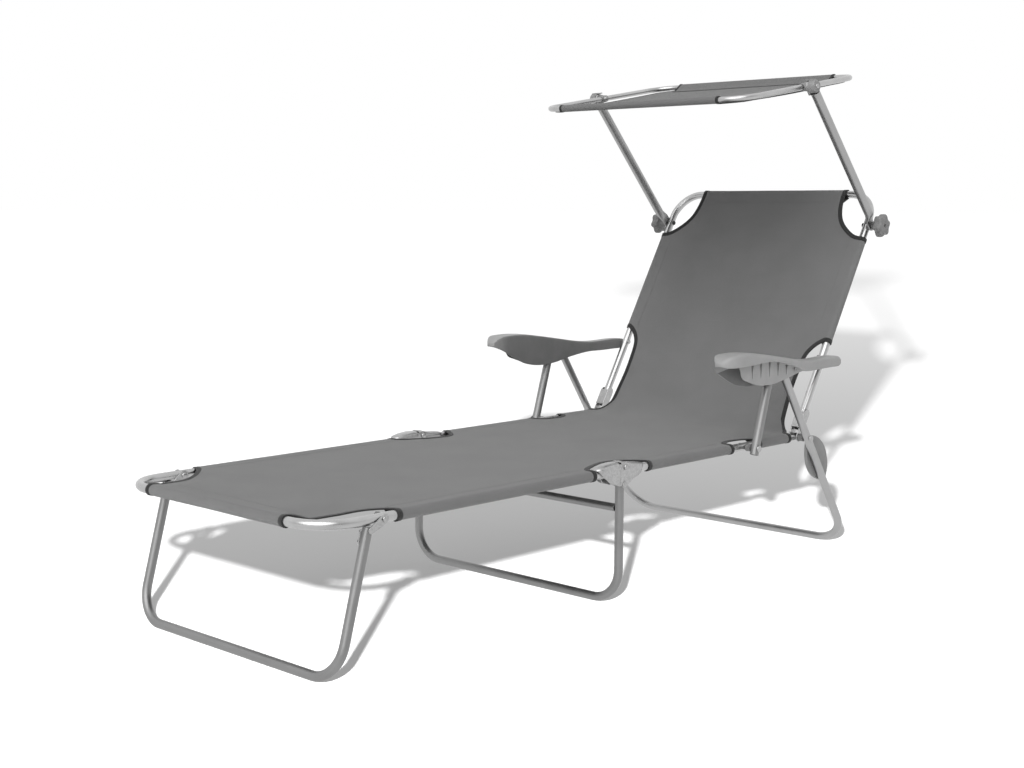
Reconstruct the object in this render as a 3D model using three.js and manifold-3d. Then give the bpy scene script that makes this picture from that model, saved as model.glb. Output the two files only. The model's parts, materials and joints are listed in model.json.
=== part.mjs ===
// Folding sun lounger with a recline back, two armrests and a tilting canopy.
// Millimetres, +Z up, +X from the foot end to the head end, Y across the bed.
// The origin is on the floor under the middle of the whole lounger.
import * as THREE from "three";
import { mergeVertices } from "three/addons/utils/BufferGeometryUtils.js";
import Module from "manifold-3d";

const wasm = await Module();
wasm.setup();

// Bed: places along X are measured from the middle of the foot bar.
const bedWidth = 552; // between the middles of the side tubes
const bedHeight = 260; // floor to the middle of the side tubes
const tubeDiameter = 17;
const frameBend = 76; // centreline radius of the frame corners
const backBend = 66;
const legBend = 62;
const clearance = 0.3; // between pieces that touch
const holeClearance = 0.3; // round a pin, on the radius
const foldX = 720; // fold line of the foot section
const footTubeStop = 11; // side tubes stop this far before and after the fold line
const reclineX = 1315; // bolt that carries the back and the rear leg
const seatTubeTail = 13; // seat tube past the recline bolt
const openBore = 14.6; // inside of a tube, where its end is open
const openBoreDepth = 18;

// Sling cloth and its cut-outs.
const clothThickness = 1.2;
const foldGap = 2; // cloth stays this far from a fold line
const frontSleeveHalf = 190;
const footCutEnd = 161;
const footCutStraight = 58;
const foldCutHalf = 78;
const foldCutDepth = 50;
const strutCutHalf = 46;
const strutCutDepth = 30;
const seatCutStart = 1286;
const lowerCutDepth = 38;
const lowerCutEnd = 228;
const upperCutStart = 492;
const topSleeveHalf = 200;

// Back, measured along it from the recline bolt.
const backAngle = THREE.MathUtils.degToRad(59);
const backLength = 608; // to the middle of the top bar
const backTubeStart = 19;
const armrestPivotAlong = 192;
const canopyPivotFromTop = 81;
const canopyPivotAlong = backLength - canopyPivotFromTop;

// Front leg.
const frontLegPivotX = 121;
const frontLegTopX = 94;
const frontLegFootX = 27;
const frontRivetSpacing = 24;
const bracketThickness = 2.5;
const bracketEye = 10;

// Middle leg and the fold hinge.
const midLegPivotDrop = 24; // below the middle of the side tubes
const midLegTopPast = 8;
const midBarShare = 0.2; // height of the cross bar, down from the pivot
const midBarDiameter = 15;
const seatCrossDiameter = 14;
const seatCrossInset = 21; // ahead of the recline bolt, clear of the clevis
const plateThickness = 2.5;
const plateReach = 37; // of a hinge plate along its tube
const plateEye = 11; // round a pivot

// Rear leg and its two struts.
const rearLegY = 308;
const rearLegAngle = THREE.MathUtils.degToRad(55.7);
const rearLegTop = 199; // from the recline bolt to the upper end
const strutY = 306;
const strutX = 1122;
const strutAngle = THREE.MathUtils.degToRad(73);
const strutLength = 172; // from its bolt to the upper end
const strutTail = 14;
const strutDiameter = 18;
const combPinDrop = 9; // pin below the upper end of the leg
const combPinLength = 26;
const guardLength = 132;
const guardWidth = 76;
const guardThickness = 7;
const guardAlong = 72; // middle of the guard, down the leg from the bolt
const guardOffset = 17; // behind the middle of the leg

// Armrest; its profile points are measured from its pivot.
const armrestInnerY = 288;
const armrestWidth = 51;
const armrestReach = 438; // pivot to nose
const armrestTail = 11; // past the pivot
const armrestTailWidth = 30;
const armrestSkin = 6; // moulded shell over the hollow
const armrestWall = 2.6;
const outerWallOffset = 37; // outer wall, from the inner face
const combSlotCount = 6;
const combSlotPitch = 31.4;
const combSlotWidth = 4;
const combSlotDepth = 27;
const combFirst = 347; // first slot ahead of the pivot
const combSlotTop = 14; // above the pivot

// Canopy and its arms.
const canopyHalfWidth = 275;
const canopyLength = 440;
const canopyPivotFromFront = 220;
const canopySlope = THREE.MathUtils.degToRad(9.3);
const canopyTubeDiameter = 12;
const canopyBend = 55;
const canopySleeveHalf = 213;
const canopyEdgeRun = 42; // the cloth's free edges run out beside the side tubes
const canopyArmLength = 397;
const canopyArmAngle = THREE.MathUtils.degToRad(132.9);
const canopyArmDiameter = 20;
const canopyArmFlat = 5;
const canopyArmFlatWidth = 24;
const canopyArmFlatLength = 30;
const clampLength = 42;
const clampWall = 3;
const clampCheek = 10; // thickness of the cheek outside the arm's eye
const clampBridge = 3.4; // joins the cheeks over the eye

// Knobs.
const knobRadius = 25;
const knobLobeDepth = 5;
const knobLobes = 6;
const knobHeight = 20;
const knobHubRadius = 12;
const knobHubHeight = 8;

// Fasteners.
const boltRadius = 4;
const rivetRadius = 3;
const headThickness = 3;
const headGrowth = 1.8; // head radius to shank radius

// Fineness of the round shapes.
const tubeSides = 16;
const bendSteps = 6;
const curveSteps = 5;
const pinSides = 12;
const cutOverrun = 5;

// Values that follow from the sizes above.
const tubeRadius = tubeDiameter / 2;
const flatShare = Math.cos(Math.PI / tubeSides);
const tubeFlat = tubeRadius * flatShare; // middle of a tube to its flats
const halfWidth = bedWidth / 2;
const sleeveInner = tubeRadius + clearance / flatShare;
const sleeveOuter = sleeveInner + clothThickness / flatShare;
const clothOffset = tubeFlat + clearance + clothThickness / 2;
const boltHole = boltRadius + holeClearance;
const rivetHole = rivetRadius + holeClearance;
const strutFlat = (strutDiameter / 2) * flatShare;
const outward = { left: -1, right: 1 }; // sign of Y, seen by someone lying on the bed
const sides = Object.keys(outward);

// Finishes.
function finish(color, metalness, roughness) {
  return new THREE.MeshStandardMaterial({ color, metalness, roughness });
}
const steel = finish(0xa8a8a8, 0.85, 0.35);
const brightSteel = finish(0xc6c6c6, 0.9, 0.3);
const cloth = finish(0x7b7b7b, 0, 0.9);
const plastic = finish(0x8c8c8c, 0, 0.55);
const darkPlastic = finish(0x6e6e6e, 0, 0.6);

const lounger = new THREE.Group();

function add(name, geometry, material, parent = lounger) {
  const mesh = new THREE.Mesh(geometry, material);
  mesh.name = name;
  parent.add(mesh);
  return mesh;
}

// Solid joins and cuts.
function toSolid(geometry) {
  const bare = geometry.clone();
  bare.deleteAttribute("normal");
  bare.deleteAttribute("uv");
  const merged = mergeVertices(bare, 1e-4);
  return new wasm.Manifold(new wasm.Mesh({
    numProp: 3,
    vertProperties: new Float32Array(merged.attributes.position.array),
    triVerts: new Uint32Array(merged.index.array),
  }));
}

function toGeometry(solid) {
  const mesh = solid.getMesh();
  const geometry = new THREE.BufferGeometry();
  geometry.setAttribute("position", new THREE.BufferAttribute(mesh.vertProperties, 3));
  geometry.setIndex(new THREE.BufferAttribute(mesh.triVerts, 1));
  return geometry;
}

function join(...geometries) {
  const solids = geometries.map(toSolid);
  return toGeometry(solids.reduce((all, solid) => all.add(solid)));
}

function cut(geometry, ...cutters) {
  const solids = cutters.map(toSolid);
  return toGeometry(solids.reduce((left, solid) => left.subtract(solid), toSolid(geometry)));
}

function shared(first, second) {
  return toGeometry(toSolid(first).intersect(toSolid(second)));
}

// A centreline of straight runs and round bends in one plane, with stations only where it bends.
class BentPath extends THREE.Curve {
  constructor(corners, bend, planeNormal) {
    super();
    this.planeNormal = planeNormal.clone().normalize();
    this.stations = [];
    const last = corners.length - 1;
    const run = (i) => corners[i + 1].clone().sub(corners[i]).normalize();
    this.station(corners[0], run(0));
    for (let i = 1; i < last; i++) {
      this.bendAt(corners[i], run(i - 1), run(i), bend);
    }
    this.station(corners[last], run(last - 1));
  }

  station(point, tangent) {
    this.stations.push({ point: point.clone(), tangent: tangent.clone() });
  }

  bendAt(corner, before, after, bend) {
    const turn = before.angleTo(after);
    const inwards = after.clone().addScaledVector(before, -Math.cos(turn)).normalize();
    const start = corner.clone().addScaledVector(before, -bend * Math.tan(turn / 2));
    const centre = start.clone().addScaledVector(inwards, bend);
    for (let i = 0; i <= bendSteps; i++) {
      const angle = (turn * i) / bendSteps;
      const point = centre.clone()
        .addScaledVector(inwards, -bend * Math.cos(angle))
        .addScaledVector(before, bend * Math.sin(angle));
      const tangent = before.clone().multiplyScalar(Math.cos(angle))
        .addScaledVector(inwards, Math.sin(angle));
      this.station(point, tangent);
    }
  }

  getSpacedPoints() {
    return this.stations.map((station) => station.point);
  }

  computeFrenetFrames() {
    const tangents = this.stations.map((station) => station.tangent);
    const binormals = tangents.map(() => this.planeNormal);
    const normals = tangents.map((tangent) => this.planeNormal.clone().cross(tangent));
    return { tangents, normals, binormals };
  }
}

function polygon(radius, count, turn) {
  const points = [];
  for (let i = 0; i < count; i++) {
    const angle = ((i + 1 / 2) * 2 * Math.PI) / count + turn;
    points.push(new THREE.Vector2(radius * Math.cos(angle), radius * Math.sin(angle)));
  }
  return new THREE.Shape(points);
}

// A round bar along corners; turn rolls its flats so that one can face the floor.
function tube(corners, radius, bend, planeNormal, turn = 0) {
  const path = new BentPath(corners, bend, planeNormal);
  return new THREE.ExtrudeGeometry(polygon(radius, tubeSides, turn), {
    steps: path.stations.length - 1,
    extrudePath: path,
  });
}

// A round pin along Y, from one Y to another.
function pin(x, z, fromY, toY, radius) {
  const length = Math.abs(toY - fromY);
  const geometry = new THREE.CylinderGeometry(radius, radius, length, pinSides);
  geometry.translate(x, (fromY + toY) / 2, z);
  return geometry;
}

// A shank with a domed head on both ends, along Y.
function rivet(x, z, fromY, toY, radius) {
  const low = Math.min(fromY, toY);
  const high = Math.max(fromY, toY);
  const head = radius * headGrowth;
  const dome = head / 2;
  const profile = [
    new THREE.Vector2(0, low - headThickness),
    new THREE.Vector2(dome, low - headThickness),
    new THREE.Vector2(head, low),
    new THREE.Vector2(radius, low),
    new THREE.Vector2(radius, high),
    new THREE.Vector2(head, high),
    new THREE.Vector2(dome, high + headThickness),
    new THREE.Vector2(0, high + headThickness),
  ];
  const geometry = new THREE.LatheGeometry(profile, pinSides);
  geometry.translate(x, 0, z);
  return geometry;
}

// A flat outline in X and Z made into a plate between two Y values.
function plateXZ(shape, fromY, toY) {
  const geometry = new THREE.ExtrudeGeometry(shape, {
    depth: Math.abs(toY - fromY),
    bevelEnabled: false,
    curveSegments: curveSteps,
  });
  geometry.rotateX(Math.PI / 2);
  geometry.translate(0, Math.max(fromY, toY), 0);
  return geometry;
}

// A flat outline in X and Y made into a plate between two Z values.
function plateXY(shape, fromZ, toZ) {
  const geometry = new THREE.ExtrudeGeometry(shape, {
    depth: toZ - fromZ,
    bevelEnabled: false,
    curveSegments: curveSteps,
  });
  geometry.translate(0, 0, fromZ);
  return geometry;
}

function shapeThrough(points) {
  const shape = new THREE.Shape();
  shape.setFromPoints(points);
  return shape;
}

// The outline of round eyes of one radius wrapped by their common hull.
function linkShape(eyes) {
  const rim = [];
  for (const [x, z, radius] of eyes) {
    for (let i = 0; i < pinSides; i++) {
      const angle = (2 * Math.PI * i) / pinSides;
      rim.push(new THREE.Vector2(x + radius * Math.cos(angle), z + radius * Math.sin(angle)));
    }
  }
  return new THREE.Shape(hull(rim));
}

function hull(points) {
  const sorted = [...points].sort((a, b) => a.x - b.x || a.y - b.y);
  const turns = (a, b, c) => (b.x - a.x) * (c.y - a.y) - (b.y - a.y) * (c.x - a.x);
  const half = (list) => {
    const chain = [];
    for (const point of list) {
      while (chain.length > 1 && turns(chain.at(-2), chain.at(-1), point) <= 0) {
        chain.pop();
      }
      chain.push(point);
    }
    chain.pop();
    return chain;
  };
  return [...half(sorted), ...half(sorted.reverse())];
}

// A point in the side view, at a distance and angle from another.
function away(x, z, distance, angle) {
  return [x + distance * Math.cos(angle), z + distance * Math.sin(angle)];
}

const vector = (x, y, z) => new THREE.Vector3(x, y, z);
const across = vector(0, 1, 0);
const up = vector(0, 0, 1);

// Foot section: one bent tube with a leg under each corner.
function footFrame() {
  const endX = foldX - footTubeStop;
  const corners = [
    vector(endX, -halfWidth, bedHeight),
    vector(0, -halfWidth, bedHeight),
    vector(0, halfWidth, bedHeight),
    vector(endX, halfWidth, bedHeight),
  ];
  const bar = tube(corners, tubeRadius, frameBend, up);
  const reach = halfWidth + tubeDiameter;
  const legHole = pin(frontLegPivotX, bedHeight, -reach, reach, rivetHole);
  return cut(bar, legHole);
}

// The leg's upper end stops against the underside of the side tube.
const frontLegLean = Math.atan2(frontLegTopX - frontLegFootX, bedHeight - 2 * tubeFlat);
const frontLegTopZ = bedHeight - tubeFlat - clearance - tubeRadius * Math.sin(frontLegLean);

function frontLegPoint(down) {
  return [frontLegTopX - down * Math.sin(frontLegLean), frontLegTopZ - down * Math.cos(frontLegLean)];
}

function frontLeg() {
  const fall = (frontLegTopZ - tubeFlat) / Math.cos(frontLegLean);
  const [footX, footZ] = frontLegPoint(fall);
  const corners = [
    vector(frontLegTopX, -halfWidth, frontLegTopZ),
    vector(footX, -halfWidth, footZ),
    vector(footX, halfWidth, footZ),
    vector(frontLegTopX, halfWidth, frontLegTopZ),
  ];
  const planeNormal = vector(Math.cos(frontLegLean), 0, -Math.sin(frontLegLean));
  const bar = tube(corners, tubeRadius, legBend, planeNormal, -frontLegLean);
  const reach = halfWidth + tubeDiameter;
  const holes = [1, 2].map((i) => {
    const [x, z] = frontLegPoint(i * frontRivetSpacing);
    return pin(x, z, -reach, reach, rivetHole);
  });
  return cut(bar, ...holes);
}

// A plate on the inner side of leg and side tube, with the two rivets that hold the leg.
function frontBracket(side) {
  const sign = outward[side];
  const outerFace = sign * (halfWidth - tubeFlat - clearance);
  const innerFace = outerFace - sign * bracketThickness;
  const rivets = [1, 2].map((i) => frontLegPoint(i * frontRivetSpacing));
  const eyes = [
    [frontLegPivotX, bedHeight, bracketEye],
    [...rivets[0], tubeRadius],
    [...rivets[1], tubeRadius],
  ];
  const plate = plateXZ(linkShape(eyes), outerFace, innerFace);
  const hole = pin(frontLegPivotX, bedHeight, outerFace, innerFace - sign * cutOverrun, rivetHole);
  const wideHole = pin(frontLegPivotX, bedHeight, outerFace + sign * cutOverrun, innerFace, rivetHole);
  const shanks = rivets.map(([x, z]) =>
    rivet(x, z, sign * (halfWidth + tubeFlat + clearance), innerFace, rivetRadius));
  return join(cut(plate, hole, wideHole), ...shanks);
}

function frontLegRivet(side) {
  const sign = outward[side];
  const outerFace = sign * (halfWidth + tubeFlat + clearance);
  const innerFace = sign * (halfWidth - tubeFlat - 2 * clearance - bracketThickness);
  return rivet(frontLegPivotX, bedHeight, outerFace, innerFace, rivetRadius);
}

// Fold hinge: plates on both faces of the tubes, the foot plates outside the seat plates.
const foldZ = bedHeight + clothOffset; // the fold pivot is level with the cloth
const midLegPivotZ = bedHeight - midLegPivotDrop;

function hingePlateFaces(side, face, layer) {
  const sign = outward[side];
  const offset = tubeFlat + clearance + layer * (plateThickness + clearance);
  const near = sign * (halfWidth + face * offset);
  const far = sign * (halfWidth + face * (offset + plateThickness));
  return [near, far];
}

function holesThrough(places, radius) {
  const reach = halfWidth + rearLegY;
  return places.map(([x, z]) => pin(x, z, -reach, reach, radius));
}

function seatHingePlate(side, face) {
  const eyes = [
    [foldX, foldZ, plateEye],
    [foldX, midLegPivotZ, plateEye],
    [foldX + plateReach, bedHeight, tubeRadius],
  ];
  const plate = plateXZ(linkShape(eyes), ...hingePlateFaces(side, face, 0));
  return cut(plate, ...holesThrough([[foldX, foldZ], [foldX, midLegPivotZ]], rivetHole));
}

function footHingePlate(side, face) {
  const eyes = [
    [foldX, foldZ, plateEye],
    [foldX - plateReach, bedHeight, tubeRadius],
    [foldX - plateReach / 2, bedHeight - plateEye, tubeRadius],
  ];
  const plate = plateXZ(linkShape(eyes), ...hingePlateFaces(side, face, 1));
  return cut(plate, ...holesThrough([[foldX, foldZ]], rivetHole));
}

function foldRivet(side) {
  const outer = hingePlateFaces(side, 1, 1)[1] + outward[side] * clearance;
  const inner = hingePlateFaces(side, -1, 1)[1] - outward[side] * clearance;
  return rivet(foldX, foldZ, outer, inner, rivetRadius);
}

function midLegRivet(side) {
  const outer = hingePlateFaces(side, 1, 0)[1] + outward[side] * clearance;
  const inner = hingePlateFaces(side, -1, 0)[1] - outward[side] * clearance;
  return rivet(foldX, midLegPivotZ, outer, inner, rivetRadius);
}

function midLeg() {
  const topZ = midLegPivotZ + midLegTopPast;
  const corners = [
    vector(foldX, -halfWidth, topZ),
    vector(foldX, -halfWidth, tubeFlat),
    vector(foldX, halfWidth, tubeFlat),
    vector(foldX, halfWidth, topZ),
  ];
  const bar = tube(corners, tubeRadius, legBend, vector(1, 0, 0));
  return cut(bar, ...holesThrough([[foldX, midLegPivotZ]], rivetHole));
}

function midCrossBar() {
  const z = midLegPivotZ * (1 - midBarShare);
  const end = halfWidth - tubeFlat - clearance;
  return tube([vector(foldX, -end, z), vector(foldX, end, z)], midBarDiameter / 2, legBend, up);
}

// Seat section: two side tubes and a cross tube under the cloth.
function seatTube(side) {
  const y = outward[side] * halfWidth;
  const startX = foldX + footTubeStop;
  const endX = reclineX + seatTubeTail;
  const bar = tube([vector(startX, y, bedHeight), vector(endX, y, bedHeight)], tubeRadius, legBend, up);
  const boreStart = endX - openBoreDepth;
  const bore = tube([vector(boreStart, y, bedHeight), vector(endX + cutOverrun, y, bedHeight)],
    openBore / 2, legBend, up);
  const reach = tubeDiameter;
  return cut(bar, bore,
    pin(reclineX, bedHeight, y - reach, y + reach, boltHole),
    pin(strutX, bedHeight, y - reach, y + reach, boltHole));
}

function seatCrossTube() {
  const x = reclineX - seatCrossInset;
  const end = halfWidth - tubeFlat - clearance;
  return tube([vector(x, -end, bedHeight), vector(x, end, bedHeight)], seatCrossDiameter / 2, legBend, up);
}

// Rear leg: one bent tube from armrest to floor and up to the other armrest.
const [rearTopX, rearTopZ] = away(reclineX, bedHeight, rearLegTop, Math.PI - rearLegAngle);
const [combX, combZ] = away(reclineX, bedHeight, rearLegTop - combPinDrop, Math.PI - rearLegAngle);

function rearLeg() {
  const fall = (bedHeight - tubeFlat) / Math.sin(rearLegAngle);
  const [footX, footZ] = away(reclineX, bedHeight, fall, -rearLegAngle);
  const corners = [
    vector(rearTopX, -rearLegY, rearTopZ),
    vector(footX, -rearLegY, footZ),
    vector(footX, rearLegY, footZ),
    vector(rearTopX, rearLegY, rearTopZ),
  ];
  const planeNormal = vector(Math.sin(rearLegAngle), 0, Math.cos(rearLegAngle));
  const bar = tube(corners, tubeRadius, legBend, planeNormal, Math.PI / 2 - rearLegAngle);
  return cut(bar,
    ...holesThrough([[reclineX, bedHeight]], boltHole),
    ...holesThrough([[combX, combZ]], rivetHole));
}

// A leaf-shaped moulding on the inner side of the rear leg, below the bolt.
function legGuard(side) {
  const sign = outward[side];
  const [midX, midZ] = away(reclineX, bedHeight, guardAlong, -rearLegAngle);
  const [centreX, centreZ] = away(midX, midZ, guardOffset, Math.PI / 2 - rearLegAngle);
  const half = guardLength / 2;
  const belly = guardWidth; // the curves pass halfway to these points
  const at = (along, outwards) => {
    const [x, z] = away(centreX, centreZ, along, -rearLegAngle);
    return away(x, z, outwards, Math.PI / 2 - rearLegAngle);
  };
  const shape = new THREE.Shape();
  shape.moveTo(...at(-half, 0));
  shape.quadraticCurveTo(...at(0, -belly), ...at(half, 0));
  shape.quadraticCurveTo(...at(0, belly), ...at(-half, 0));
  const outerFace = sign * (rearLegY - tubeFlat - clearance);
  return plateXZ(shape, outerFace, outerFace - sign * guardThickness);
}

function combPin(x, z, y) {
  const half = combPinLength / 2 - headThickness;
  return rivet(x, z, y - half, y + half, rivetRadius);
}

// Struts from the seat tubes up into the armrests.
const [strutTopX, strutTopZ] = away(strutX, bedHeight, strutLength, strutAngle);

function strut(side) {
  const y = outward[side] * strutY;
  const [tailX, tailZ] = away(strutX, bedHeight, -strutTail, strutAngle);
  const bar = tube([vector(tailX, y, tailZ), vector(strutTopX, y, strutTopZ)],
    strutDiameter / 2, legBend, across);
  return cut(bar, ...holesThrough([[strutX, bedHeight]], boltHole));
}

function bush(x, side, fromY, toY) {
  const sign = outward[side];
  const ring = pin(x, bedHeight, sign * fromY, sign * toY, 2 * boltRadius);
  const hole = pin(x, bedHeight, sign * (fromY - cutOverrun), sign * (toY + cutOverrun), boltHole);
  return cut(ring, hole);
}

// Clevis on the lower end of the back tube, astride the seat tube; drawn along the back.
const clevisOuter = tubeFlat + 2 * clearance + plateThickness;
const clevisEnd = 3 * backTubeStart;

function backClevis(side) {
  const y = outward[side] * halfWidth;
  const eyes = [[0, 0, plateEye], [clevisEnd, 0, plateEye - clearance]];
  const inner = tubeFlat + clearance;
  const cheeks = [-1, 1].map((face) =>
    plateXZ(linkShape(eyes), y + face * inner, y + face * (inner + plateThickness)));
  const webShape = shapeThrough([
    new THREE.Vector2(backTubeStart, inner),
    new THREE.Vector2(clevisEnd, inner),
    new THREE.Vector2(clevisEnd, inner + plateThickness),
    new THREE.Vector2(backTubeStart, inner + plateThickness),
  ]);
  const web = plateXZ(webShape, y - inner - plateThickness, y + inner + plateThickness);
  const hole = pin(0, 0, y - halfWidth, y + halfWidth, boltHole);
  return cut(join(...cheeks, web), hole);
}

function reclineBolt(side) {
  const sign = outward[side];
  const outer = sign * (rearLegY + tubeFlat + clearance);
  const inner = sign * (halfWidth - clevisOuter);
  return rivet(reclineX, bedHeight, outer, inner, boltRadius);
}

function strutBolt(side) {
  const sign = outward[side];
  const outer = sign * (strutY + strutFlat + clearance);
  const inner = sign * (halfWidth - tubeFlat - clearance);
  return rivet(strutX, bedHeight, outer, inner, boltRadius);
}

// Back frame, drawn along the back from the recline bolt.
function backFrame() {
  const corners = [
    vector(backTubeStart, -halfWidth, 0),
    vector(backLength, -halfWidth, 0),
    vector(backLength, halfWidth, 0),
    vector(backTubeStart, halfWidth, 0),
  ];
  const bar = tube(corners, tubeRadius, backBend, up);
  const reach = halfWidth + tubeDiameter;
  return cut(bar,
    pin(armrestPivotAlong, 0, -reach, reach, rivetHole),
    pin(canopyPivotAlong, 0, -reach, reach, rivetHole));
}

// Sling cloth: a flat panel with sleeves round the tubes.
function sleeve(from, to) {
  const outer = tube([from, to], sleeveOuter, frameBend, up);
  const along = to.clone().sub(from).normalize();
  const inner = tube([
    from.clone().addScaledVector(along, -cutOverrun),
    to.clone().addScaledVector(along, cutOverrun),
  ], sleeveInner, frameBend, up);
  return { outer, inner };
}

function slingFrom(shape, z, runs) {
  const panel = plateXY(shape, z + clothOffset - clothThickness / 2, z + clothOffset + clothThickness / 2);
  const sleeves = runs.map(([from, to]) => sleeve(from, to));
  const body = join(panel, ...sleeves.map((one) => one.outer));
  return cut(body, ...sleeves.map((one) => one.inner));
}

// Half an outline, from the low X end to the high X end, mirrored about the middle line.
function mirroredShape(half) {
  const other = half.map((point) => new THREE.Vector2(point.x, -point.y)).reverse();
  return new THREE.Shape([...half, ...other]);
}

// Edges of the cut-outs, from where they leave a sleeve: share of the length, share of the depth.
const footCutShares = [[0, 0], [0.3, 0.09], [0.58, 0.35], [0.9, 0.72], [1, 1]];
const foldCutShares = [[0, 0], [0.07, 0.45], [0.2, 0.85], [0.45, 1], [1, 1]];
const strutCutShares = [[0, 0], [0.15, 0.7], [0.5, 1], [0.85, 0.7], [1, 0]];
const lowerCutShares = [[0, 0.4], [0.1, 0.85], [0.3, 0.96], [0.55, 1], [0.82, 0.95], [0.94, 0.5], [1, 0]];
const upperCutShares = [[0, 0], [0.05, 0.34], [0.28, 0.76], [0.55, 0.98], [0.84, 1.05], [1, 1]];
const canopyEdgeShares = [[0, 0], [0.04, 0.72], [0.12, 0.98], [0.5, 1], [0.88, 0.98], [0.96, 0.72], [1, 0]];

// A smooth cut-out edge between two places along the cloth, from one half width to another.
function cutEdge(shares, fromX, toX, fromY, toY) {
  const places = shares.map(([along, inwards]) =>
    new THREE.Vector2(fromX + along * (toX - fromX), fromY + inwards * (toY - fromY)));
  return new THREE.SplineCurve(places).getPoints(2 * (places.length - 1));
}

function footSling() {
  const cutStart = foldX - foldCutHalf;
  const half = [
    new THREE.Vector2(0, frontSleeveHalf),
    ...cutEdge(footCutShares, footCutStraight, footCutEnd, frontSleeveHalf, halfWidth),
    ...cutEdge(foldCutShares, cutStart, foldX - foldGap, halfWidth, halfWidth - foldCutDepth),
  ];
  const side = (sign) => [
    vector(footCutEnd, sign * halfWidth, bedHeight),
    vector(cutStart, sign * halfWidth, bedHeight),
  ];
  const front = [vector(0, -frontSleeveHalf, bedHeight), vector(0, frontSleeveHalf, bedHeight)];
  return slingFrom(mirroredShape(half), bedHeight, [side(-1), side(1), front]);
}

function seatSling() {
  const cutEnd = foldX + foldCutHalf;
  const strutFrom = strutX - strutCutHalf;
  const strutTo = strutX + strutCutHalf;
  const endX = reclineX - clothOffset * Math.tan(backAngle / 2) - foldGap;
  const half = [
    ...cutEdge(foldCutShares, cutEnd, foldX + foldGap, halfWidth, halfWidth - foldCutDepth).reverse(),
    ...cutEdge(strutCutShares, strutFrom, strutTo, halfWidth, halfWidth - strutCutDepth),
    new THREE.Vector2(seatCutStart, halfWidth),
    new THREE.Vector2(endX, halfWidth - lowerCutDepth * lowerCutShares[0][1]),
  ];
  const run = (fromX, toX) => [-1, 1].map((sign) => [
    vector(fromX, sign * halfWidth, bedHeight),
    vector(toX, sign * halfWidth, bedHeight),
  ]);
  const runs = [...run(cutEnd, strutFrom), ...run(strutTo, seatCutStart)];
  return slingFrom(mirroredShape(half), bedHeight, runs);
}

function backSling() {
  const start = foldGap - clothOffset * Math.tan(backAngle / 2);
  const half = [
    ...cutEdge(lowerCutShares, start, lowerCutEnd, halfWidth, halfWidth - lowerCutDepth),
    ...cutEdge(upperCutShares, upperCutStart, backLength, halfWidth, topSleeveHalf),
  ];
  const side = (sign) => [
    vector(lowerCutEnd, sign * halfWidth, 0),
    vector(upperCutStart, sign * halfWidth, 0),
  ];
  const top = [vector(backLength, -topSleeveHalf, 0), vector(backLength, topSleeveHalf, 0)];
  return slingFrom(mirroredShape(half), 0, [side(-1), side(1), top]);
}

// Armrest profiles, as X ahead of the pivot (towards the nose) and Z above it, in shares of the reach.
const topShares = [
  [-0.025, 0.006], [-0.012, 0.016], [0.08, 0.02], [0.24, 0.016], [0.37, 0.026], [0.49, 0.044],
  [0.65, 0.068], [0.81, 0.087], [0.95, 0.085], [0.985, 0.07], [1, 0.05],
];
const bandShares = [
  [1, 0.036], [0.98, 0.028], [0.83, 0.03], [0.67, 0.037], [0.59, 0.03], [0.5, 0.011],
  [0.41, -0.011], [0.36, -0.03], [0.22, -0.038], [0.06, -0.036], [-0.012, -0.034], [-0.025, -0.024],
];
const innerShares = [
  [0.985, 0.04], [0.965, 0.014], [0.85, -0.046], [0.78, -0.071], [0.68, -0.084], [0.56, -0.078],
  [0.45, -0.057], [0.28, -0.034], [0.02, -0.032],
];
const outerShares = [
  [0.87, 0.034], [0.865, -0.02], [0.8, -0.048], [0.73, -0.068], [0.66, -0.075], [0.58, -0.073],
  [0.52, -0.064], [0.4, -0.043], [0.32, -0.034],
];

function armrestPoints(shares, lift = 0) {
  return shares.map(([ahead, above]) =>
    new THREE.Vector2(-ahead * armrestReach, above * armrestReach + lift));
}

function armrestPlan() {
  const inner = armrestInnerY;
  const outer = inner + armrestWidth;
  const middle = inner + armrestWidth / 2;
  const tailOuter = inner + armrestTailWidth;
  const round = armrestWidth * 2 / 3;
  const nose = -armrestReach;
  const shape = new THREE.Shape();
  shape.moveTo(armrestTail, inner);
  shape.lineTo(armrestTail, tailOuter);
  shape.lineTo(-armrestReach / 8, tailOuter);
  shape.bezierCurveTo(-armrestReach / 4, tailOuter, -armrestReach / 3, outer, -armrestReach / 2, outer);
  shape.lineTo(nose + round, outer);
  shape.quadraticCurveTo(nose, outer, nose, middle);
  shape.quadraticCurveTo(nose, inner, nose + round, inner);
  return shape;
}

function mirroredY(geometry, sign) {
  if (sign > 0) {
    return geometry;
  }
  const mirrored = geometry.clone();
  mirrored.scale(1, -1, 1);
  const index = mirrored.index.array;
  for (let i = 0; i < index.length; i += 3) {
    [index[i], index[i + 1]] = [index[i + 1], index[i]];
  }
  return mirrored;
}

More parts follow.
